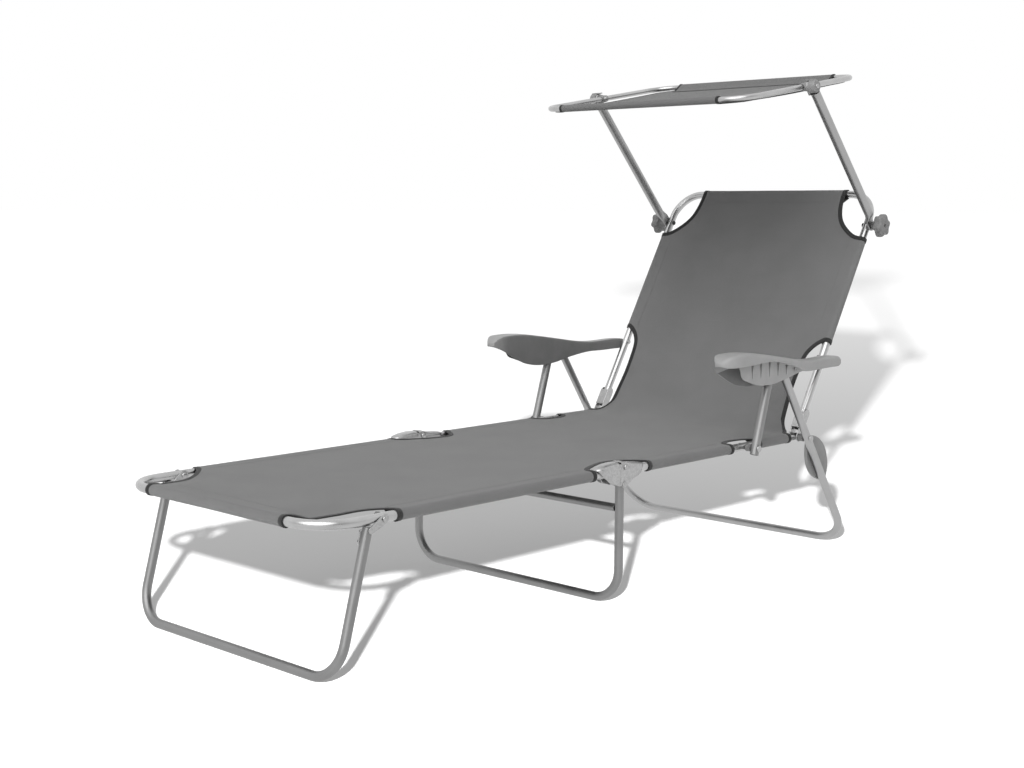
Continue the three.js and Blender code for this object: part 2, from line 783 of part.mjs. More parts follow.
function armrest(side) {
  const inner = armrestInnerY;
  const outer = inner + armrestWidth;
  const wallOuter = inner + outerWallOffset;
  const profile = shapeThrough([...armrestPoints(topShares), ...armrestPoints(bandShares)]);
  const plan = plateXY(armrestPlan(), -armrestReach, armrestReach);
  const slab = shared(plateXZ(profile, inner, outer), plan);
  const roof = armrestPoints(topShares.slice(2, -2), -armrestSkin);
  const wallRoof = armrestPoints(topShares.slice(2, -2), -armrestSkin / 2);
  const innerWall = plateXZ(shapeThrough([...wallRoof, ...armrestPoints(innerShares)]),
    inner, inner + armrestWall);
  const bellyRoof = armrestPoints(topShares.slice(4, -3), -armrestSkin / 2);
  const outerWall = plateXZ(shapeThrough([...bellyRoof, ...armrestPoints(outerShares)]),
    wallOuter - armrestWall, wallOuter);
  const low = -armrestReach / 3;
  const hollow = plateXZ(shapeThrough([
    ...roof.slice(1, -1),
    new THREE.Vector2(roof.at(-2).x, low),
    new THREE.Vector2(roof[1].x, low),
  ]), inner + armrestWall, wallOuter - armrestWall);
  const slots = [];
  for (let i = 0; i < combSlotCount; i++) {
    const slot = new THREE.BoxGeometry(combSlotWidth, 2 * cutOverrun, combSlotDepth);
    slot.translate(i * combSlotPitch - combFirst, wallOuter, combSlotTop - combSlotDepth / 2);
    slots.push(slot);
  }
  const boltEnd = inner + armrestTailWidth * 2 / 3;
  const hole = pin(0, 0, inner - cutOverrun, boltEnd, rivetHole);
  const body = cut(join(slab, innerWall, outerWall), hollow, ...slots, hole);
  return mirroredY(body, outward[side]);
}

// The armrest bolt enters from the inner side of the back tube; along the back.
function armrestBolt(side) {
  const sign = outward[side];
  const headFace = halfWidth - tubeFlat - clearance;
  const tip = armrestInnerY + armrestTailWidth * 2 / 3 - clearance;
  const head = pin(armrestPivotAlong, 0, sign * (headFace - headThickness), sign * headFace,
    rivetRadius * headGrowth);
  const shank = pin(armrestPivotAlong, 0, sign * (headFace - headThickness / 2), sign * tip, rivetRadius);
  return join(head, shank);
}

// Canopy arm: a tube pressed flat at both ends, towards the bed; drawn from its pivot on the back.
const armY = halfWidth + tubeFlat + clearance + canopyArmFlat / 2;
const armTubeY = armY - canopyArmFlat / 2 + canopyArmDiameter / 2;

function canopyArm(side) {
  const y = outward[side] * armY;
  const tubeY = outward[side] * armTubeY;
  const bar = tube([
    vector(canopyArmFlatLength, tubeY, 0),
    vector(canopyArmLength - canopyArmFlatLength, tubeY, 0),
  ], canopyArmDiameter / 2, legBend, up);
  const eye = canopyArmFlatWidth / 2;
  const inside = canopyArmFlatLength * 4 / 3;
  const flats = [[0, inside], [canopyArmLength - inside, canopyArmLength]].map(([from, to]) => {
    const shape = linkShape([[from, 0, eye], [to, 0, eye]]);
    return plateXZ(shape, y - canopyArmFlat / 2, y + canopyArmFlat / 2);
  });
  const reach = canopyArmDiameter;
  return cut(join(bar, ...flats),
    pin(0, 0, y - reach, y + reach, rivetHole),
    pin(canopyArmLength, 0, y - reach, y + reach, rivetHole));
}

// Knob with a six-lobed grip, a hub and the stud that passes through arm and back tube.
function knob(side) {
  const sign = outward[side];
  const hubFace = armY + canopyArmFlat / 2 + clearance;
  const gripFace = hubFace + knobHubHeight;
  const grip = [];
  const steps = 4 * knobLobes;
  for (let i = 0; i < steps; i++) {
    const angle = (2 * Math.PI * i) / steps;
    const radius = knobRadius - knobLobeDepth * (1 - Math.cos(knobLobes * angle)) / 2;
    grip.push(new THREE.Vector2(radius * Math.cos(angle), radius * Math.sin(angle)));
  }
  const star = plateXZ(new THREE.Shape(grip), sign * gripFace, sign * (gripFace + knobHeight));
  const hub = pin(0, 0, sign * hubFace, sign * (gripFace + cutOverrun), knobHubRadius);
  const studEnd = halfWidth - tubeFlat - clearance;
  const stud = pin(0, 0, sign * studEnd, sign * gripFace, rivetRadius);
  const stop = pin(0, 0, sign * (studEnd - headThickness), sign * studEnd, rivetRadius * headGrowth);
  return join(star, hub, stud, stop);
}

// Canopy: two bent tubes whose ends meet inside the clamps; drawn from the clamp bolts.
const canopyRadius = canopyTubeDiameter / 2;
const canopyFlat = canopyRadius * flatShare;
const hoopGap = boltRadius; // each hoop stops this far from the bolt's middle

function canopyHoop(direction, length) {
  const corners = [
    vector(direction * hoopGap, -canopyHalfWidth, 0),
    vector(direction * length, -canopyHalfWidth, 0),
    vector(direction * length, canopyHalfWidth, 0),
    vector(direction * hoopGap, canopyHalfWidth, 0),
  ];
  return tube(corners, canopyRadius, canopyBend, up);
}

// Clamp: a sleeve round the hoops' ends, and two cheeks joined over the arm's eye.
const bridgeLow = canopyArmFlatWidth / 2 + 2 * clearance;
const cheekOuter = armY + canopyArmFlat / 2 + clearance + clampCheek;

function canopyClamp(side) {
  const sign = outward[side];
  const y = sign * canopyHalfWidth;
  const half = clampLength / 2;
  const ring = tube([vector(-half, y, 0), vector(half, y, 0)],
    canopyRadius + (clearance + clampWall) / flatShare, legBend, up);
  const bore = tube([vector(-half - cutOverrun, y, 0), vector(half + cutOverrun, y, 0)],
    canopyRadius + clearance / flatShare, legBend, up);
  const round = linkShape([[0, 0, bridgeLow + clampBridge]]);
  const innerCheek = plateXZ(round, y, sign * (armY - canopyArmFlat / 2 - clearance));
  const outerCheek = plateXZ(round, sign * (cheekOuter - clampCheek), sign * cheekOuter);
  const bridgeZ = bridgeLow + clampBridge / 2;
  const bridgeReach = clampBridge * 5 / 2;
  const bridge = plateXZ(linkShape([[-bridgeReach, bridgeZ, clampBridge / 2], [0, bridgeZ, clampBridge / 2]]),
    y, sign * cheekOuter);
  const hole = pin(0, 0, y - sign * canopyTubeDiameter, sign * (cheekOuter + cutOverrun), rivetHole);
  return cut(join(ring, innerCheek, outerCheek, bridge), bore, hole);
}

function clampBolt(side) {
  const sign = outward[side];
  const outer = sign * (cheekOuter + clearance);
  const inner = sign * (canopyHalfWidth - canopyFlat - 2 * clearance - clampWall);
  return rivet(0, 0, outer, inner, rivetRadius);
}

// The cloth runs under its two bars, with a sleeve round each.
function canopyCloth() {
  const drop = canopyFlat + clearance + clothThickness / 2;
  const frontX = -canopyPivotFromFront;
  const rearX = canopyLength - canopyPivotFromFront;
  const half = cutEdge(canopyEdgeShares, frontX, rearX, canopySleeveHalf, canopySleeveHalf + canopyEdgeRun);
  const panel = plateXY(mirroredShape(half), -drop - clothThickness / 2, -drop + clothThickness / 2);
  const innerRadius = canopyRadius + clearance / flatShare;
  const outerRadius = innerRadius + clothThickness / flatShare;
  const bars = [frontX, rearX].map((x) => ({
    outer: tube([vector(x, -canopySleeveHalf, 0), vector(x, canopySleeveHalf, 0)],
      outerRadius, legBend, up),
    inner: tube([
      vector(x, -canopySleeveHalf - cutOverrun, 0),
      vector(x, canopySleeveHalf + cutOverrun, 0),
    ], innerRadius, legBend, up),
  }));
  const body = join(panel, ...bars.map((bar) => bar.outer));
  return cut(body, ...bars.map((bar) => bar.inner));
}

// Assembly. A group turned by an angle in the side view has its own X along that angle.
function turnedGroup(x, z, angle, parent = lounger) {
  const group = new THREE.Group();
  group.position.set(x, 0, z);
  group.rotation.y = -angle;
  parent.add(group);
  return group;
}

function addFootSection() {
  add("foot_frame", footFrame(), steel);
  add("foot_sling", footSling(), cloth);
  for (const side of sides) {
    add(`foot_hinge_plate_outer_${side}`, footHingePlate(side, 1), brightSteel);
    add(`foot_hinge_plate_inner_${side}`, footHingePlate(side, -1), brightSteel);
    add(`front_leg_rivet_${side}`, frontLegRivet(side), brightSteel);
  }
  add("front_leg", frontLeg(), steel);
  for (const side of sides) {
    add(`front_leg_bracket_${side}`, frontBracket(side), brightSteel);
  }
}

function addSeatSection() {
  for (const side of sides) {
    add(`seat_tube_${side}`, seatTube(side), steel);
    add(`seat_hinge_plate_outer_${side}`, seatHingePlate(side, 1), brightSteel);
    add(`seat_hinge_plate_inner_${side}`, seatHingePlate(side, -1), brightSteel);
    add(`fold_rivet_${side}`, foldRivet(side), brightSteel);
    add(`mid_leg_rivet_${side}`, midLegRivet(side), brightSteel);
  }
  add("seat_cross_tube", seatCrossTube(), steel);
  add("seat_sling", seatSling(), cloth);
  add("mid_leg", midLeg(), steel);
  add("mid_leg_cross_bar", midCrossBar(), steel);
}

function addRearLegAndStruts() {
  add("rear_leg", rearLeg(), steel);
  const clevisFace = halfWidth + clevisOuter - clearance;
  for (const side of sides) {
    const sign = outward[side];
    add(`rear_leg_guard_${side}`, legGuard(side), darkPlastic);
    add(`rear_leg_pin_${side}`, combPin(combX, combZ, sign * rearLegY), brightSteel);
    add(`recline_bolt_${side}`, reclineBolt(side), brightSteel);
    add(`recline_bush_${side}`,
      bush(reclineX, side, clevisFace + clearance, rearLegY - tubeFlat - clearance), darkPlastic);
    add(`strut_${side}`, strut(side), steel);
    add(`strut_bolt_${side}`, strutBolt(side), brightSteel);
    add(`strut_bush_${side}`,
      bush(strutX, side, halfWidth + tubeFlat + clearance, strutY - strutFlat - clearance), darkPlastic);
  }
}

function addBackAndArmrests() {
  const back = turnedGroup(reclineX, bedHeight, backAngle);
  add("back_frame", backFrame(), steel, back);
  add("back_sling", backSling(), cloth, back);
  const [pivotX, pivotZ] = away(reclineX, bedHeight, armrestPivotAlong, backAngle);
  const level = turnedGroup(pivotX, pivotZ, 0);
  for (const side of sides) {
    add(`back_clevis_${side}`, backClevis(side), brightSteel, back);
    add(`armrest_bolt_${side}`, armrestBolt(side), brightSteel, back);
    add(`armrest_${side}`, armrest(side), plastic, level);
  }
}

function addCanopy() {
  const [pivotX, pivotZ] = away(reclineX, bedHeight, canopyPivotAlong, backAngle);
  const arms = turnedGroup(pivotX, pivotZ, canopyArmAngle);
  const [clampX, clampZ] = away(pivotX, pivotZ, canopyArmLength, canopyArmAngle);
  const canopy = turnedGroup(clampX, clampZ, canopySlope);
  for (const side of sides) {
    add(`canopy_arm_${side}`, canopyArm(side), steel, arms);
    add(`knob_${side}`, knob(side), plastic, arms);
    add(`canopy_clamp_${side}`, canopyClamp(side), darkPlastic, canopy);
    add(`clamp_bolt_${side}`, clampBolt(side), brightSteel, canopy);
  }
  add("canopy_hoop_front", canopyHoop(-1, canopyPivotFromFront), steel, canopy);
  add("canopy_hoop_rear", canopyHoop(1, canopyLength - canopyPivotFromFront), steel, canopy);
  add("canopy_cloth", canopyCloth(), cloth, canopy);
}

addFootSection();
addSeatSection();
addRearLegAndStruts();
addBackAndArmrests();
addCanopy();

// The origin goes under the middle of the whole lounger.
lounger.updateMatrixWorld(true);
const extent = new THREE.Box3().setFromObject(lounger, true);
lounger.position.x = -(extent.min.x + extent.max.x) / 2;

export default lounger;
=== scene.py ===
"""Finishes and fine shapes of a folding sun lounger with a canopy. Metres, +Z up, +X to the head end."""
import json
import math

import bmesh
import bpy
from mathutils import Matrix, Vector, noise


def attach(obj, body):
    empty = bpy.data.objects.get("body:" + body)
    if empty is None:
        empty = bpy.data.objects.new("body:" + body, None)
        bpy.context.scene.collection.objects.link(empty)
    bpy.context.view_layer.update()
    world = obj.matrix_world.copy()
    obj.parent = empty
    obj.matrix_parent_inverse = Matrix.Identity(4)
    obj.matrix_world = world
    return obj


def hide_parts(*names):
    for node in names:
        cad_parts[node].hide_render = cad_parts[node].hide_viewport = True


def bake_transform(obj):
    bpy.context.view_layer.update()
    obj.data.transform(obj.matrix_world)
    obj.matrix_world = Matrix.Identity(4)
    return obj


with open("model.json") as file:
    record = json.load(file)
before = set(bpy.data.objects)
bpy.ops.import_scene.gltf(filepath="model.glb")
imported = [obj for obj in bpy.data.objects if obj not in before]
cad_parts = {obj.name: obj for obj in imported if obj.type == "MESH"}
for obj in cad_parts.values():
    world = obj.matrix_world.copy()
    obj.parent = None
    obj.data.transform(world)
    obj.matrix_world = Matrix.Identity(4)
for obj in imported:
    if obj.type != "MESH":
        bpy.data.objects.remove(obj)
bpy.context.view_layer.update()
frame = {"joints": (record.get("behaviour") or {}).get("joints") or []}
scene = bpy.context.scene
pivots = {joint["name"]: Vector(joint["pos_m"]) for joint in frame["joints"]}

# Bed. Places along X are measured from the middle of the foot bar.
TUBE = 0.0085  # radius
HALF_WIDTH = 0.276  # middle of the bed to the middle of a side tube
BED_HEIGHT = 0.26
FOLD_X = 0.72
RECLINE_X = 1.315
STRUT_X = 1.122
FRAME_BEND = 0.076
BACK_BEND = 0.066
LEG_BEND = 0.062
TUBE_FLAT = TUBE * math.cos(math.pi / 16)  # the solids' tubes are sixteen-sided
CLEARANCE = 0.0003
BORE = 0.0073  # radius of the open end of a tube
CROSS_TUBE = 0.007
MID_RAIL_TUBE = 0.0075
STRUT_TUBE = 0.009
HINGE_GAP = 0.011  # from the fold line to the ends of the side tubes
BRACKET_X = 0.121  # the rivet that the front leg folds on
SIDES = (("left", -1), ("right", 1))
UP = (0, 0, 1)
FOOT_BAR_X = pivots["foot_fold"].x - FOLD_X

# Back and canopy.
BACK_ANGLE = math.radians(59)
BACK_LENGTH = 0.608
BACK_START = 0.019
ARMREST_ALONG = 0.192
CANOPY_ALONG = 0.527
ARM_ANGLE = math.radians(132.9)
ARM_LENGTH = 0.397
ARM_TUBE = 0.01
ARM_EYE = 0.012  # half the width of the pressed ends
ARM_FLAT = 0.0025  # half the thickness of the pressed ends
CANOPY_SLOPE = math.radians(9.3)
CANOPY_TUBE = 0.006
CANOPY_HALF = 0.275
CANOPY_FRONT = 0.22  # clamp bolt to the front bar
CANOPY_REAR = 0.22
CANOPY_BEND = 0.055

# Cloth.
CLOTH = 0.0012
CLOTH_OFFSET = 0.0094  # middle of a tube to the middle of the cloth
SLEEVE_SEAM = 0.026  # middle of a tube to the seam that closes the sleeve
SEAM_FLAP = 0.009
SEAM_CLEAR = 0.004  # stitches stop this far from a sleeve's end
FOOT_SLEEVE_HALF = 0.19
TOP_SLEEVE_HALF = 0.2
CANOPY_SLEEVE_HALF = 0.213
PANEL_JOIN_X = 0.958  # where the two lengths of the bed cloth meet
TAPE = 0.009  # width of the binding

# Fineness.
TUBE_SIDES = 32
BEND_STEPS = 20
RING_SIDES = 40
CLOTH_STEP = 0.011
CLOTH_COLUMNS = 44


def hex_colour(code):
    """The linear colour of an sRGB hex value."""
    values = [int(code[i:i + 2], 16) / 255 for i in (1, 3, 5)]
    linear = [v / 12.92 if v <= 0.04045 else ((v + 0.055) / 1.055) ** 2.4 for v in values]
    return (*linear, 1.0)


def add_node(tree, kind, inputs=None, **settings):
    """Adds a node. An input is a value, another node's output, or a node for its first output."""
    node = tree.nodes.new(kind)
    for name, value in settings.items():
        setattr(node, name, value)
    for name, value in (inputs or {}).items():
        if isinstance(value, bpy.types.Node):
            value = value.outputs[0]
        if isinstance(value, bpy.types.NodeSocket):
            tree.links.new(value, node.inputs[name])
        else:
            node.inputs[name].default_value = value
    return node


def empty_tree(owner):
    owner.use_nodes = True
    owner.node_tree.nodes.clear()
    return owner.node_tree


def end_material(material, tone, shades, rough, relief, steady):
    """Leads the patterns of a material to its surface.

    Shades are two hex values; relief is a pattern, its strength and its depth in metres; steady holds
    the sockets that stay the same all over the surface.
    """
    tree = material.node_tree
    height, strength, depth = relief
    colour = add_node(tree, "ShaderNodeMix", {
        0: tone, 6: hex_colour(shades[0]), 7: hex_colour(shades[1])}, data_type="RGBA")
    bump = add_node(tree, "ShaderNodeBump", {"Height": height, "Strength": strength, "Distance": depth})
    shader = add_node(tree, "ShaderNodeBsdfPrincipled", {
        "Base Color": colour.outputs[2], "Roughness": rough, "Normal": bump, **steady})
    add_node(tree, "ShaderNodeOutputMaterial", {"Surface": shader})
    return material


def plated_tube(name, shades, smooth, rough):
    """Steel tube, zinc-plated after drawing: fine lines run along it, with faint cloudy patches."""
    material = bpy.data.materials.new(name)
    tree = empty_tree(material)
    run = add_node(tree, "ShaderNodeUVMap", uv_map="run")
    place = add_node(tree, "ShaderNodeTexCoord").outputs["Object"]
    # Drawing lines are about 0.5 mm apart round the tube and 60 mm long.
    stretch = add_node(tree, "ShaderNodeMapping", {"Vector": run, "Scale": (2000, 17, 1)})
    lines = add_node(tree, "ShaderNodeTexNoise", {
        "Vector": stretch, "Detail": 3.0, "Scale": 1.0}).outputs["Fac"]
    # Clouds in the plating are 40 mm across, and rubbed spots 5 mm.
    clouds = add_node(tree, "ShaderNodeTexNoise", {
        "Vector": place, "Scale": 28.0, "Detail": 4.0}).outputs["Fac"]
    scuffs = add_node(tree, "ShaderNodeTexNoise", {
        "Vector": place, "Scale": 210.0, "Detail": 5.0, "Roughness": 0.7}).outputs["Fac"]
    worn = add_node(tree, "ShaderNodeMapRange", {"Value": scuffs, "From Min": 0.62, "From Max": 0.74})
    both = add_node(tree, "ShaderNodeMath", {0: clouds, 1: lines}, operation="ADD")
    tone = add_node(tree, "ShaderNodeMapRange", {"Value": both, "From Min": 0.7, "From Max": 1.3})
    base = add_node(tree, "ShaderNodeMapRange", {
        "Value": clouds, "From Min": 0.3, "From Max": 0.7, "To Min": smooth, "To Max": rough})
    rougher = add_node(tree, "ShaderNodeMath", {0: worn, 1: 0.12, 2: base}, operation="MULTIPLY_ADD")
    return end_material(material, tone, shades, rougher, (lines, 0.15, 0.00008), {"Metallic": 1.0})


def pressed_zinc(name, shades):
    """Zinc-plated pressed sheet: small bright crystals and a soft, slightly uneven gloss."""
    material = bpy.data.materials.new(name)
    tree = empty_tree(material)
    place = add_node(tree, "ShaderNodeTexCoord").outputs["Object"]
    # Zinc crystals are 2 to 3 mm across.
    crystals = add_node(tree, "ShaderNodeTexVoronoi", {"Vector": place, "Scale": 400.0})
    dents = add_node(tree, "ShaderNodeTexNoise", {
        "Vector": place, "Scale": 120.0, "Detail": 4.0}).outputs["Fac"]
    tone = add_node(tree, "ShaderNodeSeparateColor", {"Color": crystals.outputs["Color"]})
    rough = add_node(tree, "ShaderNodeMapRange", {
        "Value": dents, "From Min": 0.3, "From Max": 0.7, "To Min": 0.28, "To Max": 0.4})
    return end_material(material, tone, shades, rough, (dents, 0.15, 0.0001), {"Metallic": 1.0})


def woven_cloth(name, shades):
    """Plain-woven coated polyester: a fine over-and-under grid with a few thicker threads."""
    material = bpy.data.materials.new(name)
    tree = empty_tree(material)
    run = add_node(tree, "ShaderNodeUVMap", uv_map="run")
    axes = add_node(tree, "ShaderNodeSeparateXYZ", {"Vector": run})
    # Real threads lie 0.7 mm apart; drawn 1.6 mm apart so that the weave shows.
    turn = 2 * math.pi / 0.0016
    waves, slubs = [], []
    for axis, scale in (("X", (900, 14, 1)), ("Y", (14, 900, 1))):
        turned = add_node(tree, "ShaderNodeMath", {0: axes.outputs[axis], 1: turn}, operation="MULTIPLY")
        waves.append(add_node(tree, "ShaderNodeMath", {0: turned}, operation="SINE"))
        stretch = add_node(tree, "ShaderNodeMapping", {"Vector": run, "Scale": scale})
        slubs.append(add_node(tree, "ShaderNodeTexNoise", {
            "Vector": stretch, "Detail": 2.0, "Scale": 1.0}).outputs["Fac"])
    weave = add_node(tree, "ShaderNodeMath", {0: waves[0], 1: waves[1]}, operation="MULTIPLY")
    slub = add_node(tree, "ShaderNodeMath", {0: slubs[0], 1: slubs[1]}, operation="ADD")
    patches = add_node(tree, "ShaderNodeTexNoise", {
        "Vector": run, "Scale": 9.0, "Detail": 3.0}).outputs["Fac"]
    height = add_node(tree, "ShaderNodeMath", {0: slub, 1: 0.6, 2: weave}, operation="MULTIPLY_ADD")
    shade = add_node(tree, "ShaderNodeMath", {0: patches, 1: 1.2, 2: height}, operation="MULTIPLY_ADD")
    tone = add_node(tree, "ShaderNodeMapRange", {"Value": shade, "From Min": 0.0, "From Max": 2.4})
    rough = add_node(tree, "ShaderNodeMapRange", {
        "Value": weave, "From Min": -1.0, "From Max": 1.0, "To Min": 0.88, "To Max": 0.74})
    return end_material(material, tone, shades, rough, (height, 0.5, 0.0003), {
        "Sheen Weight": 0.25, "Sheen Roughness": 0.5, "Specular IOR Level": 0.3})


def ribbed_tape(name, shades):
    """Woven polyester binding, nearly black: fine ribs across its width."""
    material = bpy.data.materials.new(name)
    tree = empty_tree(material)
    run = add_node(tree, "ShaderNodeUVMap", uv_map="run")
    axes = add_node(tree, "ShaderNodeSeparateXYZ", {"Vector": run})
    # Ribs of a grosgrain tape are about 1 mm apart.
    turned = add_node(tree, "ShaderNodeMath", {0: axes.outputs["Y"], 1: 2 * math.pi / 0.001},
                      operation="MULTIPLY")
    ribs = add_node(tree, "ShaderNodeMath", {0: turned}, operation="SINE")
    lint = add_node(tree, "ShaderNodeTexNoise", {
        "Vector": run, "Scale": 260.0, "Detail": 4.0}).outputs["Fac"]
    both = add_node(tree, "ShaderNodeMath", {0: ribs, 1: 0.2, 2: lint}, operation="MULTIPLY_ADD")
    tone = add_node(tree, "ShaderNodeMapRange", {"Value": both, "From Min": 0.2, "From Max": 0.8})
    rough = add_node(tree, "ShaderNodeMapRange", {
        "Value": lint, "From Min": 0.3, "From Max": 0.7, "To Min": 0.75, "To Max": 0.92})
    return end_material(material, tone, shades, rough, (ribs, 0.5, 0.0002), {
        "Sheen Weight": 0.2, "Specular IOR Level": 0.25})


def sewing_thread(name, shades):
    """Twisted polyester thread: slanted plies and a faint lustre."""
    material = bpy.data.materials.new(name)
    tree = empty_tree(material)
    place = add_node(tree, "ShaderNodeTexCoord").outputs["Object"]
    # Plies of a heavy thread are 0.4 mm apart.
    plies = add_node(tree, "ShaderNodeTexWave", {
        "Vector": place, "Scale": 780.0, "Distortion": 1.5}, bands_direction="DIAGONAL").outputs["Fac"]
    rough = add_node(tree, "ShaderNodeMapRange", {"Value": plies, "To Min": 0.5, "To Max": 0.7})
    return end_material(material, plies, shades, rough, (plies, 0.4, 0.0001), {"Sheen Weight": 0.3})


def moulded_plastic(name, shades, smooth, rough):
    """Moulded polypropylene: a fine spark-eroded grain, faint flow clouds and a soft sheen."""
    material = bpy.data.materials.new(name)
    tree = empty_tree(material)
    place = add_node(tree, "ShaderNodeTexCoord").outputs["Object"]
    # The mould's grain is about 0.5 mm, clouds of the melt's flow 45 mm and rubbed spots 11 mm.
    grain = add_node(tree, "ShaderNodeTexNoise", {
        "Vector": place, "Scale": 1900.0, "Detail": 2.0}).outputs["Fac"]
    flow = add_node(tree, "ShaderNodeTexNoise", {
        "Vector": place, "Scale": 22.0, "Detail": 4.0, "Distortion": 0.6}).outputs["Fac"]
    rubs = add_node(tree, "ShaderNodeTexNoise", {
        "Vector": place, "Scale": 90.0, "Detail": 6.0, "Roughness": 0.75}).outputs["Fac"]
    both = add_node(tree, "ShaderNodeMath", {0: grain, 1: 0.35, 2: flow}, operation="MULTIPLY_ADD")
    tone = add_node(tree, "ShaderNodeMapRange", {"Value": both, "From Min": 0.4, "From Max": 0.95})
    gloss = add_node(tree, "ShaderNodeMapRange", {
        "Value": rubs, "From Min": 0.35, "From Max": 0.65, "To Min": smooth, "To Max": rough})
    return end_material(material, tone, shades, gloss, (grain, 0.25, 0.0001), {
        "Specular IOR Level": 0.5, "IOR": 1.49})


# Legs, struts and cross tube: plated and left dull, so the studio shows only as a soft streak.
satin_tube = plated_tube("zinc_plated_leg_tube", ("#8c8c8c", "#9b9b9b"), 0.42, 0.5)
# Canopy arms and rear leg: the same plating, paler.
arm_tube = plated_tube("satin_arm_tube", ("#aaaaaa", "#bababa"), 0.42, 0.5)
# Bed, back and canopy frames: polished before plating, with a clear bright line along the top.
bright_tube = plated_tube("polished_frame_tube", ("#aeaeae", "#c4c4c4"), 0.25, 0.33)
# Stud of the knobs: blackened, so it reads as a dark stop inside the frame.
dark_steel = plated_tube("blackened_stud_steel", ("#3a3a3a", "#4c4c4c"), 0.35, 0.5)
# Hinges, brackets and rivets: pale pressings that glint at their rounded edges.
zinc_sheet = pressed_zinc("zinc_plated_pressing", ("#a8a8a8", "#bababa"))
# Bed cloth: matt mid grey with a faint sheen where it turns over a tube. The canopy's is a shade darker.
sling_weave = woven_cloth("woven_sling_cloth", ("#6d6d6d", "#8a8a8a"))
canopy_weave = woven_cloth("woven_canopy_cloth", ("#676767", "#848484"))
# Binding: a dark line round every cut-out.
binding = ribbed_tape("ribbed_binding_tape", ("#252525", "#3c3c3c"))
# Thread: close to the cloth's own grey, so a seam shows as a fine dotted line.
thread = sewing_thread("twisted_sewing_thread", ("#686868", "#808080"))
# Armrests: light grey with a soft gloss. A darker, matter copy of the same plastic paints the shade that
# falls on the inner walls and in the hollow.
armrest_plastic = moulded_plastic("moulded_armrest_plastic", ("#9d9d9d", "#ababab"), 0.36, 0.5)
painted_shade_armrest_plastic = moulded_plastic("painted_shade_armrest_plastic", ("#7a7a7a", "#868686"), 0.55, 0.7)
# Knobs, bushes, guards and clamps: the same plastic in nearby greys.
knob_plastic = moulded_plastic("moulded_knob_plastic", ("#777777", "#888888"), 0.38, 0.52)
fitting_plastic = moulded_plastic("moulded_fitting_plastic", ("#6e6e6e", "#828282"), 0.42, 0.58)
guard_plastic = moulded_plastic("moulded_guard_plastic", ("#858585", "#969696"), 0.4, 0.55)
clamp_plastic = moulded_plastic("moulded_clamp_plastic", ("#8a8a8a", "#9c9c9c"), 0.4, 0.55)


def bed(x, y, z):
    """A place on the bed, from the middle of the foot bar."""
    return Vector((FOOT_BAR_X + x, y, z))


def side_frame(x, z, angle):
    """The frame of something turned in the side view: its X runs along the angle."""
    return Matrix.Translation(bed(x, 0, z)) @ Matrix.Rotation(-angle, 4, "Y")


def away(x, z, distance, angle):
    return x + distance * math.cos(angle), z + distance * math.sin(angle)


bed_frame = side_frame(0, 0, 0)
back_frame = side_frame(RECLINE_X, BED_HEIGHT, BACK_ANGLE)
canopy_pivot = away(RECLINE_X, BED_HEIGHT, CANOPY_ALONG, BACK_ANGLE)
arm_frame = side_frame(*canopy_pivot, ARM_ANGLE)
clamp_pivot = away(*canopy_pivot, ARM_LENGTH, ARM_ANGLE)
canopy_frame = side_frame(*clamp_pivot, CANOPY_SLOPE)
armrest_pivot = away(RECLINE_X, BED_HEIGHT, ARMREST_ALONG, BACK_ANGLE)
armrest_frame = side_frame(*armrest_pivot, 0)


def smooth_step(value, low, high):
    share = min(1.0, max(0.0, (value - low) / (high - low)))
    return share * share * (3 - 2 * share)


def finish_piece(name, mesh, material, crease=40):
    """Makes the mesh a piece of the object, shaded smooth up to the crease angle."""
    mesh.validate()
    for face in mesh.polygons:
        face.use_smooth = True
    mesh.set_sharp_from_angle(angle=math.radians(crease))
    mesh.materials.append(material)
    piece = bpy.data.objects.new(name, mesh)
    scene.collection.objects.link(piece)
    return piece


def turn_faces_out(mesh):
    body = bmesh.new()
    body.from_mesh(mesh)
    bmesh.ops.recalc_face_normals(body, faces=body.faces)
    body.to_mesh(mesh)
    body.free()


def place_piece(piece, body, *nodes):
    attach(piece, body)
    if nodes:
        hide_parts(*nodes)
    return piece


def loft(name, rings, material, world=Matrix.Identity(4), crease=40, caps=True):
    """A skin through closed rings of points; its 'run' map is in metres, round and along."""
    mesh = bpy.data.meshes.new(name)
    count = len(rings[0])
    points = [world @ Vector(point) for ring in rings for point in ring]
    faces = []
    for i in range(len(rings) - 1):
        for k in range(count):
            after = (k + 1) % count
            faces.append((i * count + k, i * count + after, (i + 1) * count + after, (i + 1) * count + k))
    if caps:
        faces.append(tuple(reversed(range(count))))
        faces.append(tuple((len(rings) - 1) * count + k for k in range(count)))
    mesh.from_pydata(points, [], faces)
    middles = [sum(points[i * count:(i + 1) * count], Vector()) / count for i in range(len(rings))]
    along = [0.0]
    for before, after in zip(middles, middles[1:]):
        along.append(along[-1] + (after - before).length)
    widest = max(sum((points[i * count + k] - points[i * count + (k + 1) % count]).length
                     for k in range(count)) for i in range(len(rings)))
    run = mesh.uv_layers.new(name="run")
    for face in mesh.polygons:
        turns = [vertex % count for vertex in face.vertices]
        wraps = len(turns) == 4 and max(turns) == count - 1 and min(turns) == 0
        for corner, vertex in zip(face.loop_indices, face.vertices):
            k = vertex % count
            turn = count if wraps and k == 0 else k
            run.data[corner].uv = (turn / count * widest, along[vertex // count])
    turn_faces_out(mesh)
    return finish_piece(name, mesh, material, crease)


